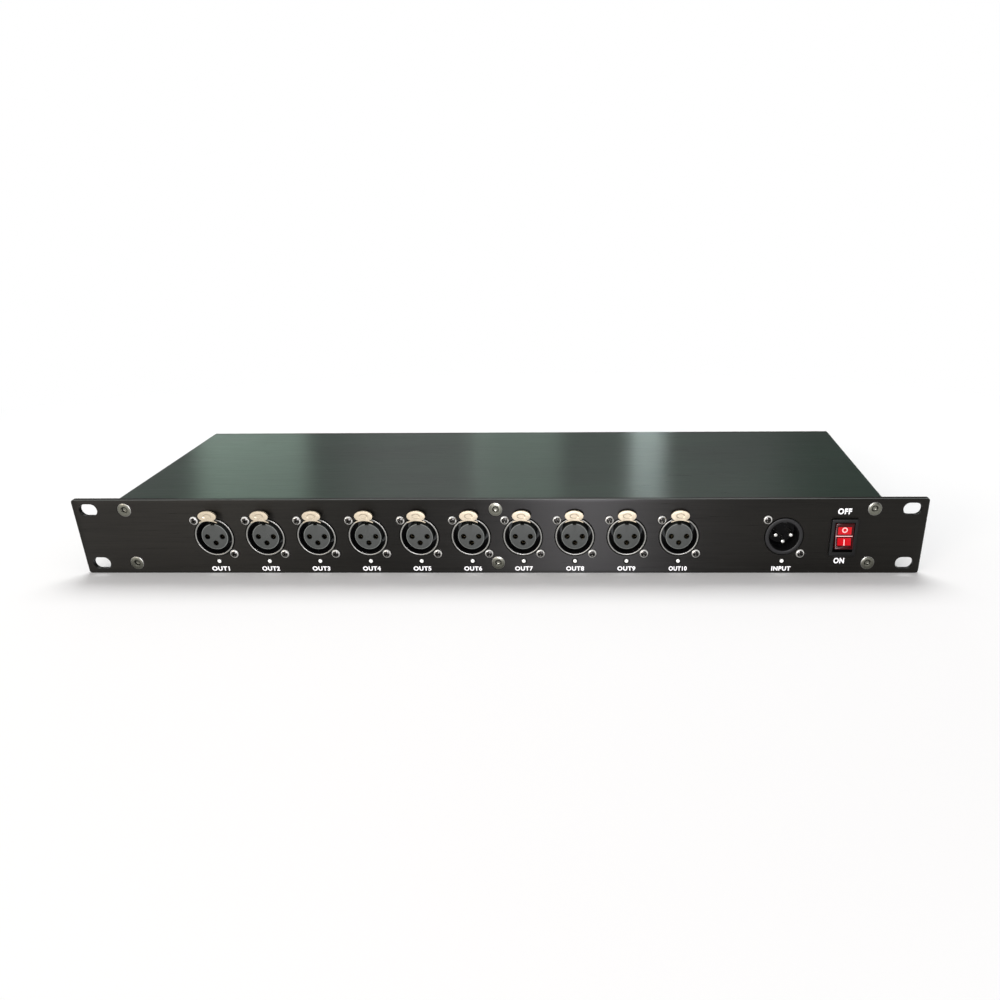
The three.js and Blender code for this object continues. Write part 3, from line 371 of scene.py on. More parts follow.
class Colours(bpy.types.PropertyGroup):
    panel: colour("Panel", "#100f0d", "Dye of the front and rear panels")
    panel_light: colour("Panel lines", "#1b1a17", "Lighter brush lines of the panels")
    case: colour("Case", "#121f18", "Dye of the case shells")
    case_light: colour("Case lines", "#1d2f25", "Lighter brush lines of the case shells")
    shell: colour("Connector shell", "#101011", "Black coat of the connector shells")
    # The rim colour is a painted highlight: the thin light line on an output ring's rounded rim and
    # on a panel screw's chamfer
    rim: colour("Connector rim", "#7f7f7b", "Bare metal on the rim of an output ring")
    insert: colour("Contact insert", "#383b39", "Moulded contact insert")
    cup_floor: colour("Input insert", "#090909", "Moulded floor of the input cup")
    latch: colour("Latch", "#b9ae99", "Plated push tab")
    screw: colour("Connector screw", "#e4e3df", "Plated connector screws")
    # The screw face colour is painted shade: it darkens the plated head for the dark panel that it
    # reflects, so the bright rim and recess walls read as painted highlights
    screw_face: colour("Screw face", "#3c3b39", "Dark nickel on the face of a connector screw")
    # The panel screw colour is darkened as painted shade for the dark panel that the plated head
    # reflects, and its warm tint is the screw's own
    panel_screw: colour("Panel screw", "#6c6c63", "Plated panel screws")
    recess: colour("Screw recess", "#1d1d1b", "Unlit metal in the hexagon socket of a screw")
    bore_shade: colour("Contact hole", "#060606", "Inside of a contact hole")
    # The insert rim colour is a painted highlight: the light line where the insert's chamfer
    # catches light
    insert_rim: colour("Insert rim", "#6e726f", "Polished edge of the contact insert")
    # The lamp skirt colour is painted shade: the clear lens's outer part is coloured dark
    lamp_skirt: colour(
        "Lamp skirt", "#3c3e3c", "Clear rim of an indicator lamp, dark at this angle"
    )
    contact: colour("Contact", "#8f8263", "Metal of the contact sleeves")
    pin: colour("Pin", "#dcdcd8", "Metal of the input pins and the blades")
    lamp: colour("Lamp", "#f3f4ef", "Lens of the indicator lamps")
    ink: colour("Ink", "#f4f5f5", "Printed words")
    plastic: colour("Black plastic", "#090909", "Switch body and mains inlet")
    rocker: colour("Rocker", "#340305", "Rim and sides of the rocker")
    window: colour("Rocker window", "#b80a16", "Windows of the rocker")
    mark: colour("Rocker marks", "#f2b9b6", "Marks on the rocker")
    board: colour("Board", "#1d5a36", "Solder mask of the boards")
    trace: colour("Board tracks", "#2f7a4c", "Copper tracks under the solder mask")
    chip: colour("Chip", "#1a1a1b", "Moulded chips")
    tin: colour("Tin", "#b9bab8", "Tinned legs and terminals")
    ribbon: colour("Ribbon", "#8d8f90", "Ribbon cable")
    live_lead: colour("Live lead", "#7a4a2a", "Lead from the inlet to the switch")
    switched_lead: colour("Switched lead", "#202020", "Lead from the switch to the supply")
    neutral_lead: colour("Neutral lead", "#2b4f9a", "Lead from the inlet to the supply")
    supply_lead: colour("Supply lead", "#a02020", "Lead from the supply to the driver board")
    earth_lead: colour("Earth lead", "#6f8a2c", "Lead from the inlet to the case")
    terminal: colour("Terminal block", "#2c5f8f", "Terminal blocks of the boards")
    winding: colour("Winding", "#c9a23a", "Tape round the transformer's winding")
    sink: colour("Heat sink", "#9a9c9d", "Bare aluminium of the heat sink")
    # The edge colour is a painted highlight: lighter than the anodised face so that the broken
    # edges read as catching light
    edge: colour("Panel edge", "#525553", "Bare metal on the broken outer edges of the panels")
    card: colour("Card", "#4a4a4a", "Grey card that the cover mirrors")
    floor: colour("Floor", "#fafafa", "Floor and backdrop of the stage")


class Finishes(bpy.types.PropertyGroup):
    line_length: length("Brush line", 30.0, "Length of a brush line")
    line_gap: length(
        "Brush gap", 0.55, "Distance between brush lines, coarser than real so that it shows"
    )
    line_depth: length("Brush depth", 0.012, "Depth of a brush line")
    grain: length("Moulding grain", 0.35, "Grain size of moulded plastic")
    grain_depth: length("Grain depth", 0.01, "Depth of the grain of moulded plastic")
    cast_grain: length("Casting grain", 0.5, "Grain size of coated castings")


class Stage(bpy.types.PropertyGroup):
    camera_x: length("Camera sideways", 62.58, "Camera's place to the right of the middle")
    camera_y: length("Camera distance", 518.19, "Camera's distance from the front panel")
    camera_z: length("Camera height", 181.65, "Camera's height over the middle of the front panel")
    camera_tilt: tilt("Camera tilt", 29.047, "How far the camera looks down")
    camera_turn: tilt("Camera turn", 1.832, "How far the camera looks to the left")
    camera_roll: tilt(
        "Camera roll", -0.671, "How far the camera is turned about its own line of sight"
    )
    lens: amount("Lens", 34.26, "Focal length in millimetres on a 36 mm sensor")
    shift_x: amount("Sideways shift", -0.07945, "Sideways shift of the picture")
    shift_y: amount("Upward shift", 0.2, "Upward shift of the picture")
    floor_half: length("Floor", 6000.0, "Half the side of the floor")
    shadow_reach: length(
        "Shadow reach", 340.0, "How far from the middle the floor shows its shadows"
    )
    white_reach: length("White reach", 560.0, "How far from the middle the floor is plain white")
    world: amount("World light", 0.5, "Strength of the light from all round")


SETTINGS = {
    "splitter_panel": PanelSizes,
    "splitter_socket": SocketSizes,
    "splitter_latch": LatchSizes,
    "splitter_screw": ScrewSizes,
    "splitter_switch": SwitchSizes,
    "splitter_inlet": InletSizes,
    "splitter_lettering": Lettering,
    "splitter_board": BoardSizes,
    "splitter_colours": Colours,
    "splitter_finishes": Finishes,
    "splitter_stage": Stage,
}


# Shapes, each a bmesh in metres
def stroked(points, closed=False):
    """A chain of edges through points."""
    shape = bmesh.new()
    corners = [shape.verts.new(point) for point in points]
    for pair in zip(corners, corners[1:]):
        shape.edges.new(pair)
    if closed:
        shape.edges.new((corners[-1], corners[0]))
    return shape


def turned(profile, steps=ROUND_STEPS, closed=False):
    """A body turned about the front-to-back axis from pairs of radius and depth."""
    shape = stroked([(radius, depth, 0) for radius, depth in profile], closed)
    bmesh.ops.spin(
        shape, geom=shape.verts[:] + shape.edges[:], cent=(0, 0, 0), axis=(0, 1, 0),
        angle=FULL_TURN, steps=steps, use_merge=True,
    )
    bmesh.ops.remove_doubles(shape, verts=shape.verts, dist=WELD)
    bmesh.ops.recalc_face_normals(shape, faces=shape.faces)
    return shape


def arc(radius, depth, size, start, end, steps=ARC_STEPS):
    """Points of a rounded edge in a turned profile, round (radius, depth)."""
    turns = [start + (end - start) * i / steps for i in range(steps + 1)]
    return [(radius + size * math.cos(turn), depth + size * math.sin(turn)) for turn in turns]


def rod(radius, front, back, edge=0.0, steps=SMALL_STEPS, x=0.0, height=0.0):
    """A round bar from front to back, with a broken front edge."""
    face = [(radius - edge, front), (radius, front + edge)] if edge else [(radius, front)]
    shape = turned([(0, front), *face, (radius, back), (0, back)], steps)
    bmesh.ops.translate(shape, verts=shape.verts, vec=(x, 0, height))
    return shape


def bevelled(shape, edges, size, segments, clamp=False):
    """Rounds edges, or cuts them off where there is one segment."""
    bmesh.ops.bevel(
        shape, geom=edges, offset=size, segments=segments, profile=0.5, affect="EDGES",
        material=-1, clamp_overlap=clamp,
    )
    return shape


def block(x0, x1, front, back, bottom, top, edge=0.0, segments=2):
    """A block between six planes, with its edges rounded."""
    shape = bmesh.new()
    size = Matrix.Diagonal((x1 - x0, back - front, top - bottom, 1))
    middle = Matrix.Translation(((x0 + x1) / 2, (front + back) / 2, (bottom + top) / 2))
    bmesh.ops.create_cube(shape, size=1, matrix=middle @ size)
    return bevelled(shape, shape.edges[:], edge, segments) if edge else shape


def run_out(shape, way):
    """Runs a flat face along a way into a solid."""
    grown = bmesh.ops.extrude_face_region(shape, geom=shape.faces[:], use_keep_orig=True)
    far = [part for part in grown["geom"] if isinstance(part, bmesh.types.BMVert)]
    bmesh.ops.translate(shape, verts=far, vec=way)
    bmesh.ops.recalc_face_normals(shape, faces=shape.faces)
    return shape


def plate(half_x, half_z, corner, front, back, edge):
    """A plate with rounded corners that faces the front, its face's edge rounded."""
    shape = bmesh.new()
    stand = Matrix.Rotation(QUARTER_TURN, 4, "X") @ Matrix.Diagonal((half_x, half_z, 1, 1))
    bmesh.ops.create_grid(shape, x_segments=1, y_segments=1, size=1, matrix=stand)
    bmesh.ops.bevel(
        shape, geom=shape.verts[:], offset=corner, segments=CORNER_STEPS, profile=0.5,
        affect="VERTICES", material=-1,
    )
    bmesh.ops.translate(shape, verts=shape.verts, vec=(0, front, 0))
    run_out(shape, (0, back - front, 0))
    return rounded_rim(shape, front, edge)


def rounded_rim(shape, depth, size, segments=3):
    """Rounds the sharp edges that lie in the plane at one depth."""
    rim = [
        edge for edge in shape.edges
        if all(abs(vert.co.y - depth) < WELD for vert in edge.verts)
        and len(edge.link_faces) == 2 and edge.calc_face_angle() > SHARP_ANGLE
    ]
    return bevelled(shape, rim, size, segments, clamp=True)


def rib(points, half_width, edge=0.0):
    """An outline of depth and height, run from side to side."""
    shape = bmesh.new()
    shape.faces.new([shape.verts.new((-half_width, depth, height)) for depth, height in points])
    run_out(shape, (2 * half_width, 0, 0))
    return bevelled(shape, shape.edges[:], edge, 2) if edge else shape


def prism(sides, radius, front, back, x=0.0, tip=None):
    """A bar with flat sides from front to back, wider or narrower at its back if tip says so."""
    shape = bmesh.new()
    lay = Matrix.Translation((x, (front + back) / 2, 0)) @ Matrix.Rotation(-QUARTER_TURN, 4, "X")
    bmesh.ops.create_cone(
        shape, cap_ends=True, segments=sides, radius1=radius,
        radius2=radius if tip is None else tip, depth=back - front, matrix=lay,
    )
    return shape


def axle(radius, half_length, depth, height):
    """A round bar from side to side."""
    shape = bmesh.new()
    lay = Matrix.Translation((0, depth, height)) @ Matrix.Rotation(QUARTER_TURN, 4, "Y")
    bmesh.ops.create_cone(
        shape, cap_ends=True, segments=SMALL_STEPS, radius1=radius, radius2=radius,
        depth=2 * half_length, matrix=lay,
    )
    return shape


def oval(half_x, half_z, height, front, back):
    """An oval bar from front to back."""
    shape = bmesh.new()
    stand = (
        Matrix.Translation((0, front, height))
        @ Matrix.Rotation(QUARTER_TURN, 4, "X")
        @ Matrix.Diagonal((half_x, half_z, 1, 1))
    )
    bmesh.ops.create_circle(shape, cap_ends=True, segments=ROUND_STEPS, radius=1, matrix=stand)
    return run_out(shape, (0, back - front, 0))


def hull(shape):
    """The tight skin round a shape. The shape itself is used up."""
    skin = bmesh.new()
    for vert in shape.verts:
        skin.verts.new(vert.co)
    shape.free()
    made = bmesh.ops.convex_hull(skin, input=skin.verts[:])
    inner = {part for key in ("geom_interior", "geom_unused") for part in made[key]}
    loose = [part for part in inner if isinstance(part, bmesh.types.BMVert)]
    bmesh.ops.delete(skin, geom=loose, context="VERTS")
    bmesh.ops.dissolve_limit(skin, angle_limit=FLAT_ANGLE, verts=skin.verts, edges=skin.edges)
    bmesh.ops.recalc_face_normals(skin, faces=skin.faces)
    return skin


def joined(*shapes):
    """Several shapes as one. The shapes themselves are used up."""
    whole = bmesh.new()
    for shape in shapes:
        holder = bpy.data.meshes.new("part")
        shape.to_mesh(holder)
        whole.from_mesh(holder)
        bpy.data.meshes.remove(holder)
        shape.free()
    return whole


def copied(shape, x=0.0, depth=0.0, height=0.0):
    """A copy of a shape, moved."""
    twin = shape.copy()
    bmesh.ops.translate(twin, verts=twin.verts, vec=(x, depth, height))
    return twin


def combined(shape, tool, operation):
    """Joins a tool to a shape or cuts it out. Both are used up."""
    holders = []
    for name, part in (("shape", shape), ("tool", tool)):
        mesh = bpy.data.meshes.new(name)
        part.to_mesh(mesh)
        part.free()
        holder = bpy.data.objects.new(name, mesh)
        bpy.context.scene.collection.objects.link(holder)
        holders.append(holder)
    cut = holders[0].modifiers.new("Cut", "BOOLEAN")
    cut.operation = operation
    cut.solver = "EXACT"
    cut.object = holders[1]
    depsgraph = bpy.context.evaluated_depsgraph_get()
    result = bpy.data.meshes.new_from_object(holders[0].evaluated_get(depsgraph))
    made = bmesh.new()
    made.from_mesh(result)
    bpy.data.meshes.remove(result)
    for holder in holders:
        mesh = holder.data
        bpy.data.objects.remove(holder)
        bpy.data.meshes.remove(mesh)
    bmesh.ops.remove_doubles(made, verts=made.verts, dist=WELD)
    bmesh.ops.dissolve_degenerate(made, edges=made.edges, dist=WELD)
    if not made.faces:
        raise RuntimeError("nothing is left of a shape after " + operation.lower())
    return made


def carved(shape, *tools):
    """A shape with tools cut out of it, one after the other."""
    for tool in tools:
        shape = combined(shape, tool, "DIFFERENCE")
    return shape


def marked(shape, mark, test):
    """Marks the faces whose middles pass a test, for another of the shape's finishes."""
    for face in shape.faces:
        if test(face.calc_center_median()):
            face.material_index = mark
    return shape


def piece(name, parts, body, replaces=(), sharp=SHARP_ANGLE):
    """Makes one object of shapes and hangs it on its body. Each shape comes with its finishes, in
    the order of its marks, and edges that turn further than the sharp angle are shaded sharp."""
    whole = bmesh.new()
    materials = []
    for shape, *finishes in parts:
        materials += [finish for finish in finishes if finish not in materials]
        holder = bpy.data.meshes.new("part")
        for face in shape.faces:
            mark = min(face.material_index, len(finishes) - 1)
            face.material_index = materials.index(finishes[mark])
            face.smooth = True
        for edge in shape.edges:
            edge.smooth = not (len(edge.link_faces) == 2 and edge.calc_face_angle(0) > sharp)
        shape.to_mesh(holder)
        whole.from_mesh(holder)
        bpy.data.meshes.remove(holder)
        shape.free()
    mesh = bpy.data.meshes.new(name)
    whole.to_mesh(mesh)
    whole.free()
    for material in materials:
        mesh.materials.append(material)
    thing = bpy.data.objects.new(name, mesh)
    bpy.context.scene.collection.objects.link(thing)
    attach(thing, body)
    if replaces:
        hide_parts(*replaces)
    return thing


# Materials
def add_node(material, kind, inputs, **settings):
    """Adds a node to a material, with its settings, and its inputs set or linked."""
    tree = material.node_tree
    made = tree.nodes.new(kind)
    for name, value in settings.items():
        setattr(made, name, value)
    for name, value in inputs.items():
        if isinstance(value, bpy.types.NodeSocket):
            tree.links.new(value, made.inputs[name])
        else:
            made.inputs[name].default_value = value
    return made


def blank_material(name, base, **settings):
    """A material with its shader's own sockets set, and its shader."""
    material = bpy.data.materials.new(name)
    material.use_nodes = True
    shader = material.node_tree.nodes["Principled BSDF"]
    shader.inputs["Base Color"].default_value = base
    for socket, value in settings.items():
        shader.inputs[socket.replace("_", " ")].default_value = value
    return material, shader


def object_place(material, scale):
    """Object coordinates, scaled."""
    place = add_node(material, "ShaderNodeTexCoord", {})
    return add_node(
        material, "ShaderNodeMapping", {"Vector": place.outputs["Object"], "Scale": scale}
    )


# The middle of a noise, which holds nearly all of its values
NOISE_RANGE = {"From Min": 0.3, "From Max": 0.7}

# The way of the brushing, a little off the width so that the panels' ends have one too
BRUSHING = (1.0, 0.01, 0.004)

# Patches of tone for each metre along the brushing and across it
PATCHES = (9.0, 22.0, 22.0)

# Tracks for each metre of a circuit board, coarser than real so that they show
TRACKS = (260.0, 260.0, 260.0)


def roughened(material, shader, grain, depth, spread, tone=0.12):
    """Gives a surface its fine grain: a bump, a roughness that wanders and a change of tone."""
    fine = object_place(material, (1 / grain,) * 3)
    noise = add_node(
        material, "ShaderNodeTexNoise", {"Vector": fine.outputs[0], "Scale": 1.0, "Detail": 3.0}
    )
    bump = add_node(
        material, "ShaderNodeBump",
        {"Height": noise.outputs["Fac"], "Distance": depth, "Strength": 1.0},
    )
    wander = add_node(
        material, "ShaderNodeMapRange",
        {"Value": noise.outputs["Fac"], **NOISE_RANGE, "To Min": spread[0], "To Max": spread[1]},
    )
    base = shader.inputs["Base Color"].default_value[:]
    dark = [channel * (1 - tone) for channel in base[:3]] + [1]
    light = [min(1, channel * (1 + tone)) for channel in base[:3]] + [1]
    mix = add_node(
        material, "ShaderNodeMix", {0: noise.outputs["Fac"], 6: dark, 7: light}, data_type="RGBA"
    )
    links = material.node_tree.links
    links.new(bump.outputs["Normal"], shader.inputs["Normal"])
    links.new(wander.outputs["Result"], shader.inputs["Roughness"])
    links.new(mix.outputs[2], shader.inputs["Base Color"])
    return material


def brushed_aluminium(name, base, finishes, lines, sheen=0.15):
    # Aluminium, brushed along the width and anodised or left bare: fine level lines, and
    # highlights that spread across them
    light = getattr(bpy.context.scene.splitter_colours, lines)[:]
    material, shader = blank_material(
        name, base, Metallic=0.0, Specular_IOR_Level=sheen, Anisotropic=0.95, Roughness=0.32
    )
    across = 1 / finishes.line_gap
    place = object_place(material, (1 / finishes.line_length, across, across))
    noise = add_node(
        material, "ShaderNodeTexNoise",
        {"Vector": place.outputs[0], "Scale": 1.0, "Detail": 4.0, "Roughness": 0.65},
    )
    patches = object_place(material, PATCHES)
    cloud = add_node(
        material, "ShaderNodeTexNoise", {"Vector": patches.outputs[0], "Scale": 1.0, "Detail": 2.0}
    )
    tone = add_node(
        material, "ShaderNodeMath", {0: noise.outputs["Fac"], 1: cloud.outputs["Fac"]},
        operation="MULTIPLY",
    )
    spread = add_node(
        material, "ShaderNodeMapRange",
        {"Value": tone.outputs[0], "From Min": 0.1, "From Max": 0.42},
    )
    mix = add_node(
        material, "ShaderNodeMix", {0: spread.outputs[0], 6: base, 7: light}, data_type="RGBA"
    )
    rough = add_node(
        material, "ShaderNodeMapRange",
        {"Value": noise.outputs["Fac"], **NOISE_RANGE, "To Min": 0.27, "To Max": 0.38},
    )
    bump = add_node(
        material, "ShaderNodeBump",
        {"Height": noise.outputs["Fac"], "Distance": finishes.line_depth, "Strength": 0.6},
    )
    surface = add_node(material, "ShaderNodeNewGeometry", {})
    across_lines = add_node(
        material, "ShaderNodeVectorMath", {0: surface.outputs["Normal"], 1: BRUSHING},
        operation="CROSS_PRODUCT",
    )
    links = material.node_tree.links
    links.new(mix.outputs[2], shader.inputs["Base Color"])
    links.new(rough.outputs["Result"], shader.inputs["Roughness"])
    links.new(bump.outputs["Normal"], shader.inputs["Normal"])
    links.new(across_lines.outputs["Vector"], shader.inputs["Tangent"])
    return material


def coated_casting(name, base, finishes):
    # Zinc, die-cast and coated black: a satin coat with a slight orange peel
    material, shader = blank_material(name, base, Specular_IOR_Level=0.3)
    return roughened(material, shader, finishes.cast_grain, finishes.grain_depth, (0.32, 0.45))


def painted_highlight_metal(name, base, finishes):
    # Zinc-coloured satin metal painted on the output rings' rims and the panel screws' chamfers: a
    # thin light line that is a painted highlight
    material, shader = blank_material(name, base, Metallic=1.0)
    return roughened(material, shader, finishes.cast_grain, finishes.grain_depth, (0.3, 0.45))


def moulded_nylon(name, base, finishes, sheen=0.3):
    # Glass-filled nylon, moulded: a matt, faintly grainy skin
    material, shader = blank_material(name, base, IOR=1.53, Specular_IOR_Level=sheen)
    return roughened(material, shader, finishes.grain, finishes.grain_depth, (0.42, 0.6))


def black_plastic(name, base, finishes):
    # Black nylon, moulded with a semi-gloss skin
    material, shader = blank_material(name, base, IOR=1.53, Specular_IOR_Level=0.2)
    return roughened(material, shader, finishes.grain, finishes.grain_depth / 2, (0.28, 0.4))


def plated_tab(name, base, finishes):
    # Stamped steel with a warm satin nickel plate: pale cream, with soft wide highlights
    material, shader = blank_material(name, base, Metallic=0.85)
    depth = finishes.grain_depth / 2
    return roughened(material, shader, finishes.cast_grain, depth, (0.3, 0.42), 0.05)


def plated_screw(name, base, finishes):
    # Steel, cold-headed and nickel-plated: bright, with faint handling marks
    material, shader = blank_material(name, base, Metallic=1.0)
    depth = finishes.grain_depth / 2
    return roughened(material, shader, finishes.cast_grain, depth, (0.2, 0.36), 0.08)


def plated_contact(name, base, finishes):
    # Copper alloy, turned and plated: a bright smooth metal
    material, shader = blank_material(name, base, Metallic=1.0)
    depth = finishes.grain_depth / 4
    return roughened(material, shader, finishes.cast_grain, depth, (0.15, 0.28), 0.04)


def lamp_epoxy(name, base, finishes):
    # Clear epoxy, cast: glossy, with the light colour over the white cup behind it, and round that
    # a dark colour that is painted shade
    material, shader = blank_material(name, base, IOR=1.54)
    depth = finishes.grain_depth / 8
    return roughened(material, shader, finishes.cast_grain, depth, (0.12, 0.2), 0.02)


def printed_ink(name, base, finishes):
    # Screen-printed ink: flat, slightly uneven and matt
    material, shader = blank_material(name, base)
    depth = finishes.grain_depth / 4
    return roughened(material, shader, finishes.grain, depth, (0.5, 0.65), 0.03)


def rocker_plastic(name, base, finishes):
    # Polycarbonate, tinted red and moulded: glossy, and light passes into it
    material, shader = blank_material(
        name, base, IOR=1.58, Subsurface_Weight=0.1, Subsurface_Scale=2 * MM,
        Specular_IOR_Level=0.15,
    )
    depth = finishes.grain_depth / 8
    return roughened(material, shader, finishes.cast_grain, depth, (0.16, 0.26), 0.06)


def lead_insulation(name, base, finishes):
    # Hook-up wire in extruded vinyl: smooth, with a soft sheen
    material, shader = blank_material(name, base, IOR=1.53)
    depth = finishes.grain_depth / 2
    return roughened(material, shader, finishes.cast_grain, depth, (0.35, 0.5))


def circuit_board(name, base, finishes):
    # Glass epoxy board under green solder mask: glossy, with raised tracks that turn square
    trace = bpy.context.scene.splitter_colours.trace[:]
    material, shader = blank_material(name, base, IOR=1.5, Roughness=0.25)
    place = object_place(material, TRACKS)
    tracks = add_node(
        material, "ShaderNodeTexVoronoi", {"Vector": place.outputs[0], "Scale": 1.0},
        distance="CHEBYCHEV", feature="F2",
    )
    edge = add_node(
        material, "ShaderNodeMapRange",
        {"Value": tracks.outputs["Distance"], "From Min": 0.55, "From Max": 0.6},
    )
    mix = add_node(
        material, "ShaderNodeMix", {0: edge.outputs[0], 6: base, 7: trace}, data_type="RGBA"
    )
    bump = add_node(
        material, "ShaderNodeBump",
        {"Height": edge.outputs[0], "Distance": finishes.grain_depth * 4, "Strength": 1.0},
    )
    links = material.node_tree.links
    links.new(mix.outputs[2], shader.inputs["Base Color"])
    links.new(bump.outputs["Normal"], shader.inputs["Normal"])
    return material


# How each finish is made, its material's name, for brushed aluminium the colour of its lines, and
# its sheen where that isn't the usual one
RECIPES = {
    "panel": (brushed_aluminium, "aluminium_brushed_black_anodised_panel", "panel_light"),
    "case": (brushed_aluminium, "aluminium_brushed_black_anodised_case", "case_light", 0.2),
    "edge": (brushed_aluminium, "aluminium_brushed_machined_edge", "edge"),
    "sink": (brushed_aluminium, "aluminium_extruded_sink", "sink", 0.5),
    "shell": (coated_casting, "zinc_die_cast_black_coat"),
    "rim": (painted_highlight_metal, "zinc_die_cast_bare_rim"),
    "insert": (moulded_nylon, "nylon_moulded_grey"),
    "insert_rim": (moulded_nylon, "nylon_polished_edge"),
    "bore_shade": (moulded_nylon, "nylon_moulded_unlit", 0.05),
    "cup_floor": (moulded_nylon, "nylon_moulded_dark", 0.05),
    "chip": (moulded_nylon, "epoxy_moulded_chip"),
    "terminal": (moulded_nylon, "nylon_moulded_terminal_block"),
    "plastic": (black_plastic, "nylon_moulded_black"),
    "latch": (plated_tab, "steel_stamped_satin_nickel"),
    "screw": (plated_screw, "steel_nickel_plated"),
    "screw_face": (plated_screw, "steel_black_nickel_plated"),
    "recess": (plated_screw, "steel_shaded_recess"),
    "panel_screw": (plated_screw, "steel_nickel_plated_warm"),
    "contact": (plated_contact, "bronze_gold_plated"),
    "pin": (plated_contact, "brass_silver_plated"),
    "tin": (plated_contact, "copper_tinned"),
    "lamp": (lamp_epoxy, "epoxy_cast_clear"),
    "lamp_skirt": (lamp_epoxy, "epoxy_cast_clear_rim"),
    "ink": (printed_ink, "ink_screen_printed"),
    "mark": (printed_ink, "ink_moulded_in_mark"),
    "rocker": (rocker_plastic, "polycarbonate_moulded_red"),
    "window": (rocker_plastic, "polycarbonate_moulded_red_window"),
    "board": (circuit_board, "glass_epoxy_solder_mask"),
    "ribbon": (lead_insulation, "vinyl_ribbon_grey"),
    "winding": (lead_insulation, "polyester_tape_on_winding"),
    "live_lead": (lead_insulation, "vinyl_live_lead"),
    "switched_lead": (lead_insulation, "vinyl_switched_lead"),
    "neutral_lead": (lead_insulation, "vinyl_neutral_lead"),
    "supply_lead": (lead_insulation, "vinyl_supply_lead"),
    "earth_lead": (lead_insulation, "vinyl_earth_lead"),
}
made_finishes = {}


def finish_for(key):
    """The material of a finish, made once. Its colour is the one of the same name."""
    if key not in made_finishes:
        scene = bpy.context.scene
        maker, name, *rest = RECIPES[key]
        base = getattr(scene.splitter_colours, key)[:]
        made_finishes[key] = maker(name, base, scene.splitter_finishes, *rest)
    return made_finishes[key]


def output_places():
    """The output number and sideways place of each output socket."""
    return [(k, middle_of(f"output_insert_{k}").x) for k in range(1, OUTPUTS + 1)]


def connector_places():
    """Name and sideways place of each of the ten outputs and of the input."""
    outputs = [(f"output_{k}", x) for k, x in output_places()]
    return outputs + [("input", middle_of("input_insert").x)]


def fixing_places(sizes):
    """Sideways and upward offsets of the two screws of a connector."""
    return [(-sizes.fixing, sizes.fixing), (sizes.fixing, -sizes.fixing)]


def contact_places(sizes):
    """Sideways and upward offsets of the three contacts of a connector."""
    return [(-sizes.spread, 0), (sizes.spread, 0), (0, -sizes.drop)]


def screw_places(side):
    """Node name and place over the middle of each panel screw."""
    nodes = sorted(name for name in frame["nodes"] if name.startswith(side + "_screw_"))
    return [(name, middle_of(name).x, middle_of(name).z - MIDDLE) for name in nodes]


def hole(radius, chamfer, x, height, steps=SMALL_STEPS):
    """What a chamfered round hole takes out of a panel."""
    profile = [
        (0, -OVERRUN),
        (radius + chamfer + OVERRUN, -OVERRUN),
        (radius, chamfer),
        (radius, PANEL_THICKNESS + OVERRUN),
        (0, PANEL_THICKNESS + OVERRUN),
    ]
    return copied(turned(profile, steps), x, 0, height)


def countersink(sizes, x, height):
    """What a countersunk screw takes out of a panel."""
    return hole(sizes.screw_hole, sizes.countersink - sizes.screw_hole, x, height)


def rack_slot(sizes, x, height):
    """What a slot with round ends takes out of the front panel."""
    radius = sizes.slot_height / 2
    reach = sizes.slot_length / 2 - radius
    ends = (-reach, reach)
    back = PANEL_THICKNESS + OVERRUN
    straight = hull(joined(*[rod(radius, -OVERRUN, back, x=end) for end in ends]))
    wide = radius + sizes.hole_edge + OVERRUN
    funnel = [(0, -OVERRUN), (wide, -OVERRUN), (radius, sizes.hole_edge), (0, sizes.hole_edge)]
    mouth = hull(joined(*[copied(turned(funnel, SMALL_STEPS), end) for end in ends]))
    return copied(combined(straight, mouth, "UNION"), x, 0, height)


def latch_notch(sizes, latch, front, back):
    """What the notch for the latch's stem takes out of a panel or a ring."""
    half = latch.arm_half + latch.gap
    return block(-half, half, front, back, sizes.insert, latch.stem_top + latch.gap)


def broken_edge(shape, half_x, half_z, edge):
    """Marks the broken outer edge of a panel's face."""
    # The marked faces get the lighter edge colour, a painted highlight
    return marked(shape, 1, lambda middle: (
        0 < middle.y < edge
        and (abs(middle.x) > half_x - edge or abs(middle.z) > half_z - edge)
    ))


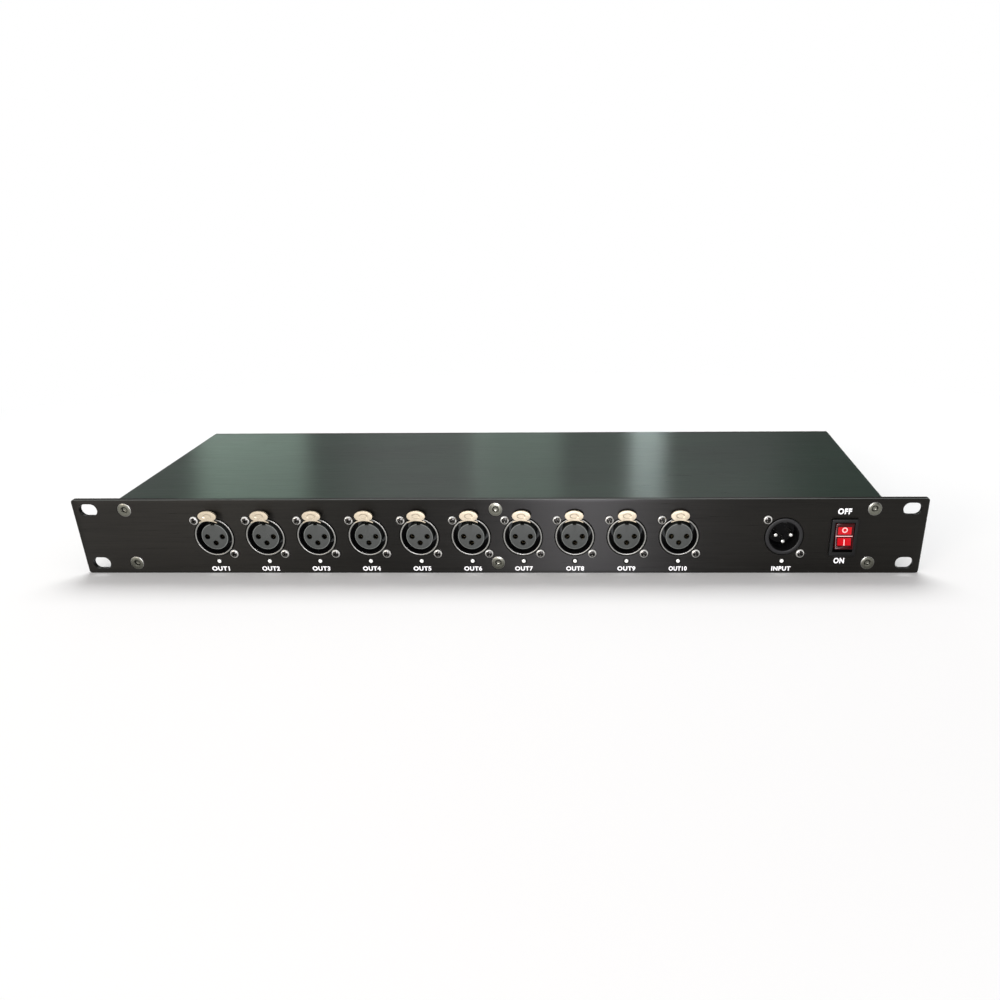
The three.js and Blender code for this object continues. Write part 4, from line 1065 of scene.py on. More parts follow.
class SPLITTER_OT_front_panel(bpy.types.Operator):
    """Cut the front panel with its rack slots and every opening"""
    bl_idname = "splitter.front_panel"
    bl_label = "Front panel"

    def execute(self, context):
        scene = context.scene
        sizes, socket = scene.splitter_panel, scene.splitter_socket
        latch, switch = scene.splitter_latch, scene.splitter_switch
        half_x = (panel_high.x - panel_low.x) / 2
        half_z = (panel_high.z - panel_low.z) / 2
        blank = plate(half_x, half_z, sizes.corner, 0, PANEL_THICKNESS, sizes.edge)
        back = PANEL_THICKNESS + OVERRUN
        screws = screw_places("front")
        holes = [countersink(sizes, x, height) for _, x, height in screws]
        notches = []
        for name, x in connector_places():
            ring = socket.cup_ring if name == "input" else socket.ring
            holes.append(hole(ring + socket.cutout_gap, sizes.hole_edge, x, 0, ROUND_STEPS))
            holes.append(hole(sizes.lamp_hole, sizes.hole_edge, x, scene.splitter_board.lamp_line))
            for dx, height in fixing_places(socket):
                holes.append(hole(sizes.fixing_hole, 0, x + dx, height))
            if name != "input":
                notches.append(copied(latch_notch(socket, latch, -OVERRUN, back), x))
        rows = sorted({round(height, 6) for _, _, height in screws})
        slots = [
            rack_slot(sizes, side * (half_x - sizes.slot_inset), height)
            for side in (-1, 1) for height in rows
        ]
        low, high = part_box("switch_housing")
        body_x = (high.x - low.x) / 2 - switch.lip + sizes.switch_gap
        body_z = (high.z - low.z) / 2 - switch.lip + sizes.switch_gap
        opening = copied(
            block(-body_x, body_x, -OVERRUN, back, -body_z, body_z), middle_of("switch_housing").x
        )
        cut = carved(blank, joined(*holes, opening), joined(*notches), joined(*slots))
        broken_edge(cut, half_x, half_z, sizes.edge)
        parts = [(moved(cut), finish_for("panel"), finish_for("edge"))]
        piece("front_panel_plate", parts, "case", ["front_panel"])
        return {"FINISHED"}


def printed_word(word, height, width, x, line, lettering):
    """One printed word as a thin slab on the panel's face."""
    text = bpy.data.curves.new("word", "FONT")
    text.body = word
    text.align_x = "CENTER"
    text.offset = lettering.weight
    text.space_character = lettering.spacing
    text.resolution_u = LETTER_STEPS
    holder = bpy.data.objects.new("word", text)
    bpy.context.scene.collection.objects.link(holder)
    depsgraph = bpy.context.evaluated_depsgraph_get()
    flat = bpy.data.meshes.new_from_object(holder.evaluated_get(depsgraph))
    bpy.data.objects.remove(holder)
    bpy.data.curves.remove(text)
    shape = bmesh.new()
    shape.from_mesh(flat)
    bpy.data.meshes.remove(flat)
    low = Vector([min(vert.co[axis] for vert in shape.verts) for axis in range(3)])
    high = Vector([max(vert.co[axis] for vert in shape.verts) for axis in range(3)])
    fill = (width / (high.x - low.x), height / (high.y - low.y), 1)
    stand = Matrix.Rotation(QUARTER_TURN, 3, "X")
    bmesh.ops.translate(shape, verts=shape.verts, vec=-(low + high) / 2)
    bmesh.ops.scale(shape, verts=shape.verts, vec=fill)
    bmesh.ops.rotate(shape, verts=shape.verts, cent=(0, 0, 0), matrix=stand)
    run_out(shape, (0, lettering.ink, 0))
    return moved(shape, x, -lettering.ink, line)


class SPLITTER_OT_words(bpy.types.Operator):
    """Print the words under the connectors and at the switch"""
    bl_idname = "splitter.words"
    bl_label = "Printed words"

    def execute(self, context):
        letters = context.scene.splitter_lettering
        low_line = (letters.output_line, letters)
        switch_x = middle_of("switch_housing").x + letters.switch_shift
        words = [
            (f"OUT{k}", letters.output_height, letters.output_width, x, *low_line)
            for k, x in output_places()
        ]
        words += [
            ("INPUT", letters.output_height, letters.input_width, middle_of("input_insert").x,
             *low_line),
            ("OFF", letters.switch_height, letters.off_width, switch_x, letters.off_line, letters),
            ("ON", letters.switch_height, letters.on_width, switch_x, letters.on_line, letters),
        ]
        parts = [(printed_word(*word), finish_for("ink")) for word in words]
        piece("panel_words", parts, "case")
        return {"FINISHED"}


def merged_copy(node):
    """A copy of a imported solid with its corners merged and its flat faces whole."""
    shape = bmesh.new()
    shape.from_mesh(frame["nodes"][node].data)
    bmesh.ops.remove_doubles(shape, verts=shape.verts, dist=WELD)
    bmesh.ops.dissolve_limit(shape, angle_limit=FLAT_ANGLE, verts=shape.verts, edges=shape.edges)
    for face in shape.faces:
        face.material_index = 0
    return shape


class SPLITTER_OT_case(bpy.types.Operator):
    """Dress the two case shells"""
    bl_idname = "splitter.case"
    bl_label = "Case shells"

    def execute(self, context):
        for node, name in (("top_shell", "case_cover"), ("bottom_shell", "case_tray")):
            piece(name, [(merged_copy(node), finish_for("case"))], "case", [node])
        return {"FINISHED"}


def at_rear(shape, x=0.0):
    """Turns a shape built as seen from behind to look out of the rear panel."""
    _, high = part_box("rear_panel")
    half_turn = Matrix.Rotation(math.pi, 3, "Z")
    bmesh.ops.rotate(shape, verts=shape.verts, cent=(0, 0, 0), matrix=half_turn)
    bmesh.ops.translate(shape, verts=shape.verts, vec=(x, high.y, MIDDLE))
    return shape


class SPLITTER_OT_rear_panel(bpy.types.Operator):
    """Cut the rear panel with its screw holes and the opening of the mains inlet"""
    bl_idname = "splitter.rear_panel"
    bl_label = "Rear panel"

    def execute(self, context):
        sizes, inlet = context.scene.splitter_panel, context.scene.splitter_inlet
        low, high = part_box("rear_panel")
        half_x, half_z = (high.x - low.x) / 2, (high.z - low.z - sizes.rear_drop) / 2
        thickness = high.y - low.y
        blank = plate(half_x, half_z, sizes.corner, 0, thickness, sizes.edge)
        broken_edge(blank, half_x, half_z, sizes.edge)
        bmesh.ops.translate(blank, verts=blank.verts, vec=(0, 0, -sizes.rear_drop / 2))
        x = -middle_of("mains_inlet").x
        body_x, body_z = inlet.body_half + sizes.switch_gap, inlet.body_height + sizes.switch_gap
        opening = block(-body_x, body_x, -OVERRUN, thickness + OVERRUN, -body_z, body_z)
        cuts = [countersink(sizes, -at, height) for _, at, height in screw_places("rear")]
        cuts.append(copied(opening, x))
        for side in (-1, 1):
            cuts.append(hole(sizes.fixing_hole, 0, x + side * inlet.screw_spread, 0))
        cut = at_rear(carved(blank, joined(*cuts)))
        parts = [(cut, finish_for("panel"), finish_for("edge"))]
        piece("rear_panel_plate", parts, "case", ["rear_panel"])
        return {"FINISHED"}


def panel_screw(sizes):
    """A countersunk screw with a hexagon socket, its face to the front."""
    face, head, edge = sizes.panel_recess, sizes.panel_head, sizes.panel_edge
    profile = [
        (0, face),
        (head - edge, face),
        (head, face + edge / 2),
        (sizes.shank, face + edge / 2 + head - sizes.shank),
        (sizes.shank, sizes.panel_end),
        (0, sizes.panel_end),
    ]
    depth = face + sizes.hexagon_depth
    socket = prism(HEX_SIDES, sizes.hexagon, face - OVERRUN, depth)
    reach = sizes.hexagon_mouth - sizes.hexagon
    mouth = prism(
        SMALL_STEPS, sizes.hexagon_mouth + OVERRUN, face - OVERRUN, face + reach, tip=sizes.hexagon
    )
    bottom = depth + sizes.drill_point
    point = prism(SMALL_STEPS, sizes.hexagon, depth - OVERRUN / 2, bottom, tip=0)
    screw = carved(turned(profile, ROUND_STEPS), socket, mouth, point)
    # The socket's walls get the dark recess colour as painted shade, and the chamfer round the face
    # gets the rim colour as a painted highlight
    marked(screw, 1, lambda middle: (
        face + reach / 2 < middle.y < depth + OVERRUN / 2
        and math.hypot(middle.x, middle.z) < sizes.hexagon_mouth
    ))
    return marked(screw, 2, lambda middle: (
        math.hypot(middle.x, middle.z) > head - edge and middle.y < face + edge
    ))


class SPLITTER_OT_panel_screws(bpy.types.Operator):
    """Set the countersunk screws of both panels"""
    bl_idname = "splitter.panel_screws"
    bl_label = "Panel screws"

    def execute(self, context):
        screw = panel_screw(context.scene.splitter_screw)
        for side in ("front", "rear"):
            for node, x, height in screw_places(side):
                shape = copied(screw, 0, 0, height)
                shape = moved(copied(shape, x)) if side == "front" else at_rear(shape, x)
                name = node.replace("screw", "socket_screw")
                keys = ("panel_screw", "recess", "rim")
                parts = [(shape, *(finish_for(key) for key in keys))]
                piece(name, parts, "case", [node])
        screw.free()
        return {"FINISHED"}


def connector_back(sizes, ring):
    """Flange of a connector behind the panel, open for its ring."""
    half, edge = sizes.flange_half, sizes.cast_edge
    flange = plate(half, half, sizes.flange_corner, sizes.flange_front, sizes.flange_back, edge)
    return carved(flange, rod(ring, 0, sizes.barrel_back, steps=ROUND_STEPS))


def ring_profile(sizes, outer, inner):
    """Section of a ring that runs from its rounded rim to the back of the barrel."""
    front, size = -sizes.proud, sizes.rim_round
    return [
        *arc(inner + size, front + size, size, math.pi, 1.5 * math.pi),
        *arc(outer - size, front + size, size, -QUARTER_TURN, 0),
        (outer, sizes.barrel_back),
        (inner, sizes.barrel_back),
    ]


class SPLITTER_OT_output_shells(bpy.types.Operator):
    """Cast the shells of the ten output sockets"""
    bl_idname = "splitter.output_shells"
    bl_label = "Output shells"

    def execute(self, context):
        scene = context.scene
        sizes, latch = scene.splitter_socket, scene.splitter_latch
        back = sizes.flange_back + OVERRUN
        ring = turned(ring_profile(sizes, sizes.ring, sizes.bore), ROUND_STEPS, closed=True)
        notch = latch_notch(sizes, latch, -OVERRUN - sizes.proud, back)
        arm = latch.arm_half + latch.gap
        roof = sizes.housing_top - sizes.housing_wall
        slot = block(-arm, arm, sizes.flange_front, sizes.slot_back, sizes.insert, roof)
        ring = carved(ring, notch, slot)
        housing = block(
            -sizes.housing_half, sizes.housing_half, sizes.flange_front, sizes.housing_back,
            sizes.ring - OVERRUN, sizes.housing_top, sizes.cast_edge,
        )
        room = block(-arm, arm, 0, sizes.slot_back, 0, roof)
        housing = carved(housing, latch_notch(sizes, latch, 0, back), room)
        flange = carved(connector_back(sizes, sizes.ring), latch_notch(sizes, latch, 0, back))
        # The ring's front, down to the highlight depth, gets the rim colour as a painted highlight
        worn = sizes.worn_depth - sizes.proud
        marked(ring, 1, lambda middle: middle.y < worn)
        for k, x in output_places():
            parts = [
                (moved(copied(ring, x)), finish_for("shell"), finish_for("rim")),
                (moved(copied(flange, x)), finish_for("shell")),
                (moved(copied(housing, x)), finish_for("shell")),
            ]
            piece(f"output_shell_{k}", parts, "case", [f"output_socket_{k}"])
        return {"FINISHED"}


def connector_screw(sizes):
    """A pan-head screw with a cross recess."""
    front, radius = -sizes.head_front, sizes.head
    turns = [QUARTER_TURN * i / DOME_STEPS for i in range(DOME_STEPS + 1)]
    profile = [
        *((radius * math.sin(turn), front + sizes.dome * (1 - math.cos(turn))) for turn in turns),
        (radius, -sizes.head_back),
        (sizes.shank, -sizes.head_back),
        (sizes.shank, sizes.shank_end),
        (0, sizes.shank_end),
    ]
    deep = front + sizes.cross_depth
    half, slot = sizes.cross_half, sizes.cross_slot
    across = block(-half, half, front - OVERRUN, deep, -slot, slot)
    upright = block(-slot, slot, front - OVERRUN, deep, -half, half)
    for cutter in (across, upright):
        for vert in cutter.verts:
            if vert.co.y > front:
                vert.co.x *= sizes.cross_taper_share
                vert.co.z *= sizes.cross_taper_share
    screw = carved(turned(profile, SMALL_STEPS), across, upright)
    upper_third = front + sizes.cross_depth / 3
    rim = sizes.worn_share * radius

    def bright(middle):
        """The head's rim, and the lower walls of the recess."""
        reach = math.hypot(middle.x, middle.z)
        return reach > rim or (reach < half and upper_third < middle.y < deep - OVERRUN)

    # All but the rim and the recess walls get the dark face colour as painted shade, and the bright
    # parts are painted highlights
    return marked(screw, 1, bright)


class SPLITTER_OT_connector_screws(bpy.types.Operator):
    """Set the cross-head screws of the connectors"""
    bl_idname = "splitter.connector_screws"
    bl_label = "Connector screws"

    def execute(self, context):
        sizes = context.scene.splitter_socket
        screw = connector_screw(context.scene.splitter_screw)
        for name, x in connector_places():
            for side, (dx, height) in zip(("upper", "lower"), fixing_places(sizes)):
                shape = moved(copied(screw, x + dx, 0, height))
                parts = [(shape, finish_for("screw_face"), finish_for("screw"))]
                piece(f"{name}_{side}_screw", parts, "case")
        screw.free()
        return {"FINISHED"}


def contact_insert(sizes):
    """Moulded insert with its key slot and three contact holes."""
    front, radius, edge = sizes.insert_front, sizes.insert, sizes.insert_edge
    base = sizes.barrel_back - sizes.insert_base
    profile = [
        (0, front),
        *arc(radius - edge, front + edge, edge, -QUARTER_TURN, 0),
        (radius, base),
        (sizes.bore - sizes.fit, base),
        (sizes.bore - sizes.fit, sizes.barrel_back),
        (0, sizes.barrel_back),
    ]
    key = block(
        -sizes.key_half, sizes.key_half, front - OVERRUN, sizes.contact_depth,
        radius - sizes.key_depth, radius + OVERRUN,
    )
    wide = sizes.contact_bore + sizes.bore_edge
    mouth = [
        (0, front - OVERRUN),
        (wide + OVERRUN, front - OVERRUN),
        (sizes.contact_bore, front + sizes.bore_edge),
        (sizes.contact_bore, sizes.contact_depth),
        (0, sizes.contact_depth),
    ]
    places = contact_places(sizes)
    bores = [copied(turned(mouth, SMALL_STEPS), x, 0, height) for x, height in places]
    insert = carved(turned(profile), key, joined(*bores))
    # The chamfer round the face gets the lighter colour as a painted highlight, and the insides of
    # the contact holes get the near-black bore colour as painted shade
    marked(insert, 1, lambda middle: (
        math.hypot(middle.x, middle.z) > radius - edge and middle.y < front + edge / 2
    ))
    return marked(insert, 2, lambda middle: middle.y > front + sizes.bore_edge / 2 and any(
        math.hypot(middle.x - x, middle.z - height) < wide for x, height in places
    ))


def contact_sleeve(sizes):
    """Metal sleeve in a contact hole, open to the front."""
    front, size = sizes.sleeve_front, (sizes.sleeve - sizes.sleeve_bore) / 2
    profile = [
        *arc(sizes.sleeve_bore + size, front + size, size, math.pi, FULL_TURN),
        (sizes.sleeve, sizes.contact_depth),
        (sizes.sleeve_bore, sizes.contact_depth),
    ]
    return turned(profile, SMALL_STEPS, closed=True)


def solder_pin(sizes, x, height):
    """Tail of a contact, from the back of the barrel nearly to the connector board."""
    end = sizes.board_front - sizes.solder_gap
    return moved(rod(sizes.solder_pin, sizes.barrel_back - OVERRUN, end, x=x, height=height))


class SPLITTER_OT_inserts(bpy.types.Operator):
    """Mould the contact inserts of the outputs and line their holes with metal"""
    bl_idname = "splitter.inserts"
    bl_label = "Contact inserts"

    def execute(self, context):
        sizes = context.scene.splitter_socket
        insert, sleeve = contact_insert(sizes), contact_sleeve(sizes)
        for k, x in output_places():
            shape = moved(copied(insert, x))
            parts = [(shape, *(finish_for(key) for key in ("insert", "insert_rim", "bore_shade")))]
            for dx, height in contact_places(sizes):
                parts.append((moved(copied(sleeve, x + dx, 0, height)), finish_for("contact")))
                parts.append((solder_pin(sizes, x + dx, height), finish_for("tin")))
            piece(f"output_contacts_{k}", parts, "case", [f"output_insert_{k}"])
        insert.free()
        sleeve.free()
        return {"FINISHED"}


def latch_shape(sizes):
    """Push tab, and arm with its tooth and pivot, of one latch."""
    front, back = -sizes.proud, sizes.thickness - sizes.proud
    reach, rise = sizes.plug_reach, sizes.half_height
    near, far = front - OVERRUN, back + OVERRUN
    tab = oval(sizes.half_width, rise, sizes.centre, front, back)
    foot = block(-sizes.foot_half, sizes.foot_half, front, back, reach - rise, sizes.foot_top)
    band = rod(reach + sizes.foot_height, front, back, steps=2 * ROUND_STEPS)
    wings = block(-sizes.wing_half, sizes.wing_half, near, far, 0, reach + rise)
    plug = rod(reach, near, far, steps=2 * ROUND_STEPS)
    tab = combined(combined(tab, foot, "UNION"), combined(band, wings, "INTERSECT"), "UNION")
    tab = carved(tab, plug)
    bmesh.ops.dissolve_limit(tab, angle_limit=FLAT_ANGLE, verts=tab.verts, edges=tab.edges)
    rounded_rim(tab, front, sizes.edge, segments=6)
    dish = oval(
        sizes.half_width * sizes.dish_share, sizes.half_height * sizes.dish_share, sizes.centre,
        front - OVERRUN, front + sizes.dish,
    )
    for vert in dish.verts:
        if vert.co.y > front:
            vert.co.x *= sizes.dish_share
            vert.co.z = sizes.centre + (vert.co.z - sizes.centre) * sizes.dish_share
    tab = carved(tab, dish)
    inside = back - sizes.thickness / 2
    arm = rib([
        (inside, sizes.stem_foot),
        (sizes.flange, sizes.arm_foot),
        (sizes.tooth_front - sizes.tooth_slope, sizes.arm_foot),
        (sizes.tooth_front, sizes.tooth_foot),
        (sizes.tooth_back, sizes.tooth_foot),
        (sizes.tooth_back, sizes.arm_back_top),
        (sizes.back_shoulder, sizes.arm_top),
        (sizes.front_shoulder, sizes.arm_top),
        (sizes.flange, sizes.stem_top),
        (inside, sizes.stem_top),
    ], sizes.arm_half, sizes.arm_edge)
    pivot = axle(sizes.pivot, sizes.pivot_half, sizes.pivot_depth, sizes.pivot_height)
    return tab, joined(arm, pivot)


class SPLITTER_OT_latches(bpy.types.Operator):
    """Form the latch over each output"""
    bl_idname = "splitter.latches"
    bl_label = "Latches"

    def execute(self, context):
        tab, arm = latch_shape(context.scene.splitter_latch)
        for k, x in output_places():
            parts = [(moved(copied(shape, x)), finish_for("latch")) for shape in (tab, arm)]
            nodes = [f"output_latch_{k}"]
            piece(f"push_latch_{k}", parts, f"latch_{k}", nodes, CRISP_ANGLE)
        tab.free()
        arm.free()
        return {"FINISHED"}


class SPLITTER_OT_input_plug(bpy.types.Operator):
    """Cast the input plug's cup and stand its three pins in it"""
    bl_idname = "splitter.input_plug"
    bl_label = "Input plug"

    def execute(self, context):
        sizes = context.scene.splitter_socket
        x = middle_of("input_insert").x
        ring = turned(ring_profile(sizes, sizes.cup_ring, sizes.cup), closed=True)
        key = block(
            -sizes.key_half, sizes.key_half, sizes.rim_round, sizes.cup_depth,
            sizes.cup - sizes.cup_key, sizes.cup + OVERRUN, sizes.cup_key_edge,
        )
        shapes = (ring, connector_back(sizes, sizes.cup_ring), key)
        parts = [(moved(copied(shape, x)), finish_for("shell")) for shape in shapes]
        piece("input_shell", parts, "case", ["input_socket"])
        floor = rod(
            sizes.cup - sizes.fit, sizes.cup_depth, sizes.barrel_back, sizes.cup_floor_edge, x=x
        )
        parts = [(moved(floor), finish_for("cup_floor"))]
        front, size, end = sizes.pin_front, sizes.pin_round, sizes.cup_depth + OVERRUN
        profile = [
            (0, front),
            *arc(sizes.pin - size, front + size, size, -QUARTER_TURN, 0),
            (sizes.pin, end),
            (0, end),
        ]
        for dx, height in contact_places(sizes):
            pin = copied(turned(profile, SMALL_STEPS), x + dx, 0, height)
            parts.append((moved(pin), finish_for("pin")))
            parts.append((solder_pin(sizes, x + dx, height), finish_for("tin")))
        piece("input_pins", parts, "case", ["input_insert"])
        return {"FINISHED"}


class SPLITTER_OT_lamps(bpy.types.Operator):
    """Stand the indicator lamps on the connector board"""
    bl_idname = "splitter.lamps"
    bl_label = "Lamps and connector board"

    def execute(self, context):
        sizes, socket = context.scene.splitter_board, context.scene.splitter_socket
        low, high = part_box("connector_board")
        front = socket.board_front
        board = block(
            low.x, high.x, front, front + sizes.thickness, low.z - MIDDLE, socket.bore, sizes.edge
        )
        parts = [(moved(board), finish_for("board"))]
        piece("connector_board_plate", parts, "case", ["connector_board"])
        tip = -sizes.lamp_proud
        end = tip + sizes.lamp_length
        dome = arc(0, sizes.lamp, sizes.lamp, -QUARTER_TURN, 0, DOME_STEPS)
        profile = [(radius, tip + depth * sizes.lamp_dome) for radius, depth in dome]
        lens = turned(profile + [(sizes.lamp, end), (0, end)], SMALL_STEPS)
        # The lens's outer part gets the dark skirt colour, painted shade
        marked(lens, 1, lambda middle: math.hypot(middle.x, middle.z) > sizes.lamp_cup)
        line, half = sizes.lamp_line, sizes.leg_half
        for name, x in connector_places():
            shape = moved(copied(lens, x, 0, line))
            parts = [(shape, finish_for("lamp"), finish_for("lamp_skirt"))]
            for at in (x - sizes.leg_gap, x + sizes.leg_gap):
                leg = block(at - half, at + half, end - OVERRUN, front, line - half, line + half)
                parts.append((moved(leg), finish_for("tin")))
            piece(f"{name}_lamp", parts, "case")
        lens.free()
        return {"FINISHED"}


# A face of the rocker that looks forward by at least this, and is larger, gets a window
FORWARD = 0.9
WINDOW_AREA = 20 * MM * MM


class SPLITTER_OT_switch(bpy.types.Operator):
    """Mould the mains switch and its rocker"""
    bl_idname = "splitter.switch"
    bl_label = "Mains switch"

    def execute(self, context):
        sizes = context.scene.splitter_switch
        low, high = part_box("switch_housing")
        x = (low.x + high.x) / 2
        half_x, half_z = (high.x - low.x) / 2, (high.z - low.z) / 2
        body_x, body_z = half_x - sizes.lip, half_z - sizes.lip
        room_x, room_z = body_x - sizes.wall, body_z - sizes.wall
        front = -sizes.bezel_proud
        bezel = plate(
            half_x, half_z, sizes.bezel_corner, front, -sizes.seat, sizes.bezel_edge
        )
        lower = [vert for vert in bezel.verts if vert.co.z < 0]
        bmesh.ops.translate(bezel, verts=lower, vec=(0, 0, -sizes.bezel_low))
        body = block(
            -body_x, body_x, front / 2, sizes.body_back, -body_z, body_z, sizes.body_edge
        )
        room = block(-room_x, room_x, front - OVERRUN, sizes.room_depth, -room_z, room_z)
        housing = carved(combined(bezel, body, "UNION"), room)
        parts = [(moved(copied(housing, x)), finish_for("plastic"))]
        for height in (-sizes.blade_offset, sizes.blade_offset):
            blade = block(
                x - sizes.blade_half, x + sizes.blade_half, sizes.body_back - OVERRUN,
                sizes.blade_back, height - sizes.blade_thin, height + sizes.blade_thin,
            )
            parts.append((moved(blade), finish_for("tin")))
        piece("switch_body", parts, "case", ["switch_housing"])
        self.make_rocker(sizes)
        return {"FINISHED"}

    def make_rocker(self, sizes):
        joint = next(j for j in frame["joints"] if j["name"] == "rocker_tilt")
        rest = Matrix.Translation(Vector(joint["pos_m"])) @ Matrix.Rotation(sizes.rest, 4, "X")
        skirt = sizes.reach - sizes.skirt
        middle = sizes.dip - sizes.reach
        cap = rib([
            (middle, 0),
            (-sizes.reach, -sizes.rocker_height),
            (-skirt, -sizes.rocker_height),
            (0, -sizes.hub),
            (0, sizes.hub),
            (-skirt, sizes.rocker_height),
            (-sizes.reach, sizes.rocker_height),
        ], sizes.rocker_half)
        outer = [
            edge for edge in cap.edges
            if all(vert.co.y < -skirt + WELD for vert in edge.verts)
            and not all(abs(vert.co.z) < WELD for vert in edge.verts)
        ]
        bevelled(cap, outer, sizes.rocker_edge, 3)
        faces = [
            face for face in cap.faces
            if face.normal.y < -FORWARD and face.calc_area() > WINDOW_AREA
        ]
        bmesh.ops.inset_individual(
            cap, faces=faces, thickness=sizes.window_rim, depth=-sizes.window_sink
        )
        for face in faces:
            face.material_index = 1
            near, near_too, *_, far, far_too = sorted(face.verts, key=lambda v: abs(v.co.z))
            inward = (near.co + near_too.co - far.co - far_too.co).normalized()
            bmesh.ops.translate(cap, verts=[far, far_too], vec=inward * sizes.window_short)
        hub = axle(sizes.hub, sizes.rocker_half - sizes.hub_inset, 0, 0)
        nibs = axle(sizes.nib, sizes.rocker_half + sizes.nib_reach, 0, 0)
        for shape in (cap, hub, nibs):
            bmesh.ops.transform(shape, matrix=rest, verts=shape.verts)
        parts = [(cap, finish_for("rocker"), finish_for("window"))]
        parts += [(shape, finish_for("rocker")) for shape in (hub, nibs)]
        piece("rocker_cap", parts, "rocker", ["switch_rocker"])
        self.make_marks(sizes, rest, middle)

    def make_marks(self, sizes, rest, middle):
        """The ring and the bar on the rocker's halves, and the line between its windows."""
        proud, sink = -sizes.mark_proud, sizes.mark_sink
        outer, inner = sizes.mark_ring, sizes.mark_ring - sizes.mark_line
        half_line = sizes.mark_line / 2
        ring = turned(
            [(outer, proud), (outer, sink), (inner, sink), (inner, proud)], SMALL_STEPS, closed=True
        )
        bar = block(-half_line, half_line, proud, sink, -sizes.mark_bar, sizes.mark_bar)
        slope = math.atan2(sizes.dip, sizes.rocker_height)
        place = math.hypot(sizes.dip, sizes.rocker_height) * sizes.mark_place
        for shape, side in ((ring, 1), (bar, -1)):
            lean = Matrix.Translation((0, middle, 0)) @ Matrix.Rotation(side * slope, 4, "X")
            lay = Matrix.Translation((0, sizes.window_sink, side * place))
            bmesh.ops.transform(shape, matrix=rest @ lean @ lay, verts=shape.verts)
        width, thin = sizes.rocker_half - sizes.window_rim / 2, half_line * sizes.line_share
        line = block(
            -width, width, middle - sizes.line_proud, middle + sizes.line_sink, -thin, thin
        )
        bmesh.ops.transform(line, matrix=rest, verts=line.verts)
        parts = [(shape, finish_for("mark")) for shape in (ring, bar, line)]
        piece("rocker_marks", parts, "rocker")


def blade_places(sizes):
    """Sideways and upward offsets of the three blades of the mains inlet."""
    return [(-sizes.spread, -sizes.rise), (sizes.spread, -sizes.rise), (0, sizes.rise)]


class SPLITTER_OT_mains_inlet(bpy.types.Operator):
    """Mould the mains inlet in the rear panel, with its blades, screws and nuts"""
    bl_idname = "splitter.mains_inlet"
    bl_label = "Mains inlet"

    def execute(self, context):
        sizes, screws = context.scene.splitter_inlet, context.scene.splitter_screw
        x = middle_of("mains_inlet").x
        front = -sizes.flange - sizes.seat
        flange = plate(
            sizes.flange_half, sizes.flange_height, sizes.flange_corner, front, -sizes.seat,
            sizes.flange_edge,
        )
        body = block(
            -sizes.body_half, sizes.body_half, front / 2, sizes.body_back,
            -sizes.body_height, sizes.body_height, sizes.body_edge,
        )
        cavity = block(
            -sizes.cavity_half, sizes.cavity_half, front - OVERRUN, sizes.cavity_back,
            -sizes.cavity_height, sizes.cavity_height,
        )
        corners = [
            edge for edge in cavity.edges
            if all(vert.co.z > 0 for vert in edge.verts)
            and edge.verts[0].co.x == edge.verts[1].co.x
            and edge.verts[0].co.y != edge.verts[1].co.y
        ]
        bevelled(cavity, corners, sizes.cavity_cut, 1)
        shape = carved(combined(flange, body, "UNION"), cavity)
        parts = [(at_rear(shape, x), finish_for("plastic"))]
        for at, height in blade_places(sizes):
            blade = block(
                at - sizes.blade_half, at + sizes.blade_half, front + sizes.blade_recess,
                sizes.cavity_back + OVERRUN, height - sizes.blade_height,
                height + sizes.blade_height, sizes.blade_edge, 3,
            )
            tab = block(
                at - sizes.tab_thin, at + sizes.tab_thin, sizes.body_back - OVERRUN,
                sizes.tab_back, height - sizes.tab_half, height + sizes.tab_half,
            )
            parts += [(at_rear(blade, x), finish_for("pin")), (at_rear(tab, x), finish_for("tin"))]
        piece("mains_inlet_body", parts, "case", ["mains_inlet"])
        low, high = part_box("rear_panel")
        seat = high.y - low.y + sizes.seat
        for side, name in ((-1, "right"), (1, "left")):
            at = side * sizes.screw_spread
            shapes = (
                copied(connector_screw(screws), at, front + screws.head_back),
                prism(HEX_SIDES, sizes.nut, seat, seat + sizes.nut_height, at),
                rod(screws.shank, 0, seat + sizes.nut_height + sizes.tail, x=at),
            )
            parts = [(at_rear(shape, x), finish_for("screw")) for shape in shapes]
            piece(f"inlet_{name}_screw_and_nut", parts, "case")
        return {"FINISHED"}


WIRES = ("live_lead", "switched_lead", "neutral_lead", "supply_lead", "earth_lead")


def on_deck(shape, mark, deck, low, high):
    """Marks what stands on a board between two corners."""
    return marked(shape, mark, lambda middle: (
        middle.z > deck + WELD
        and low.x - WELD < middle.x < high.x + WELD
        and low.y - WELD < middle.y < high.y + WELD
    ))


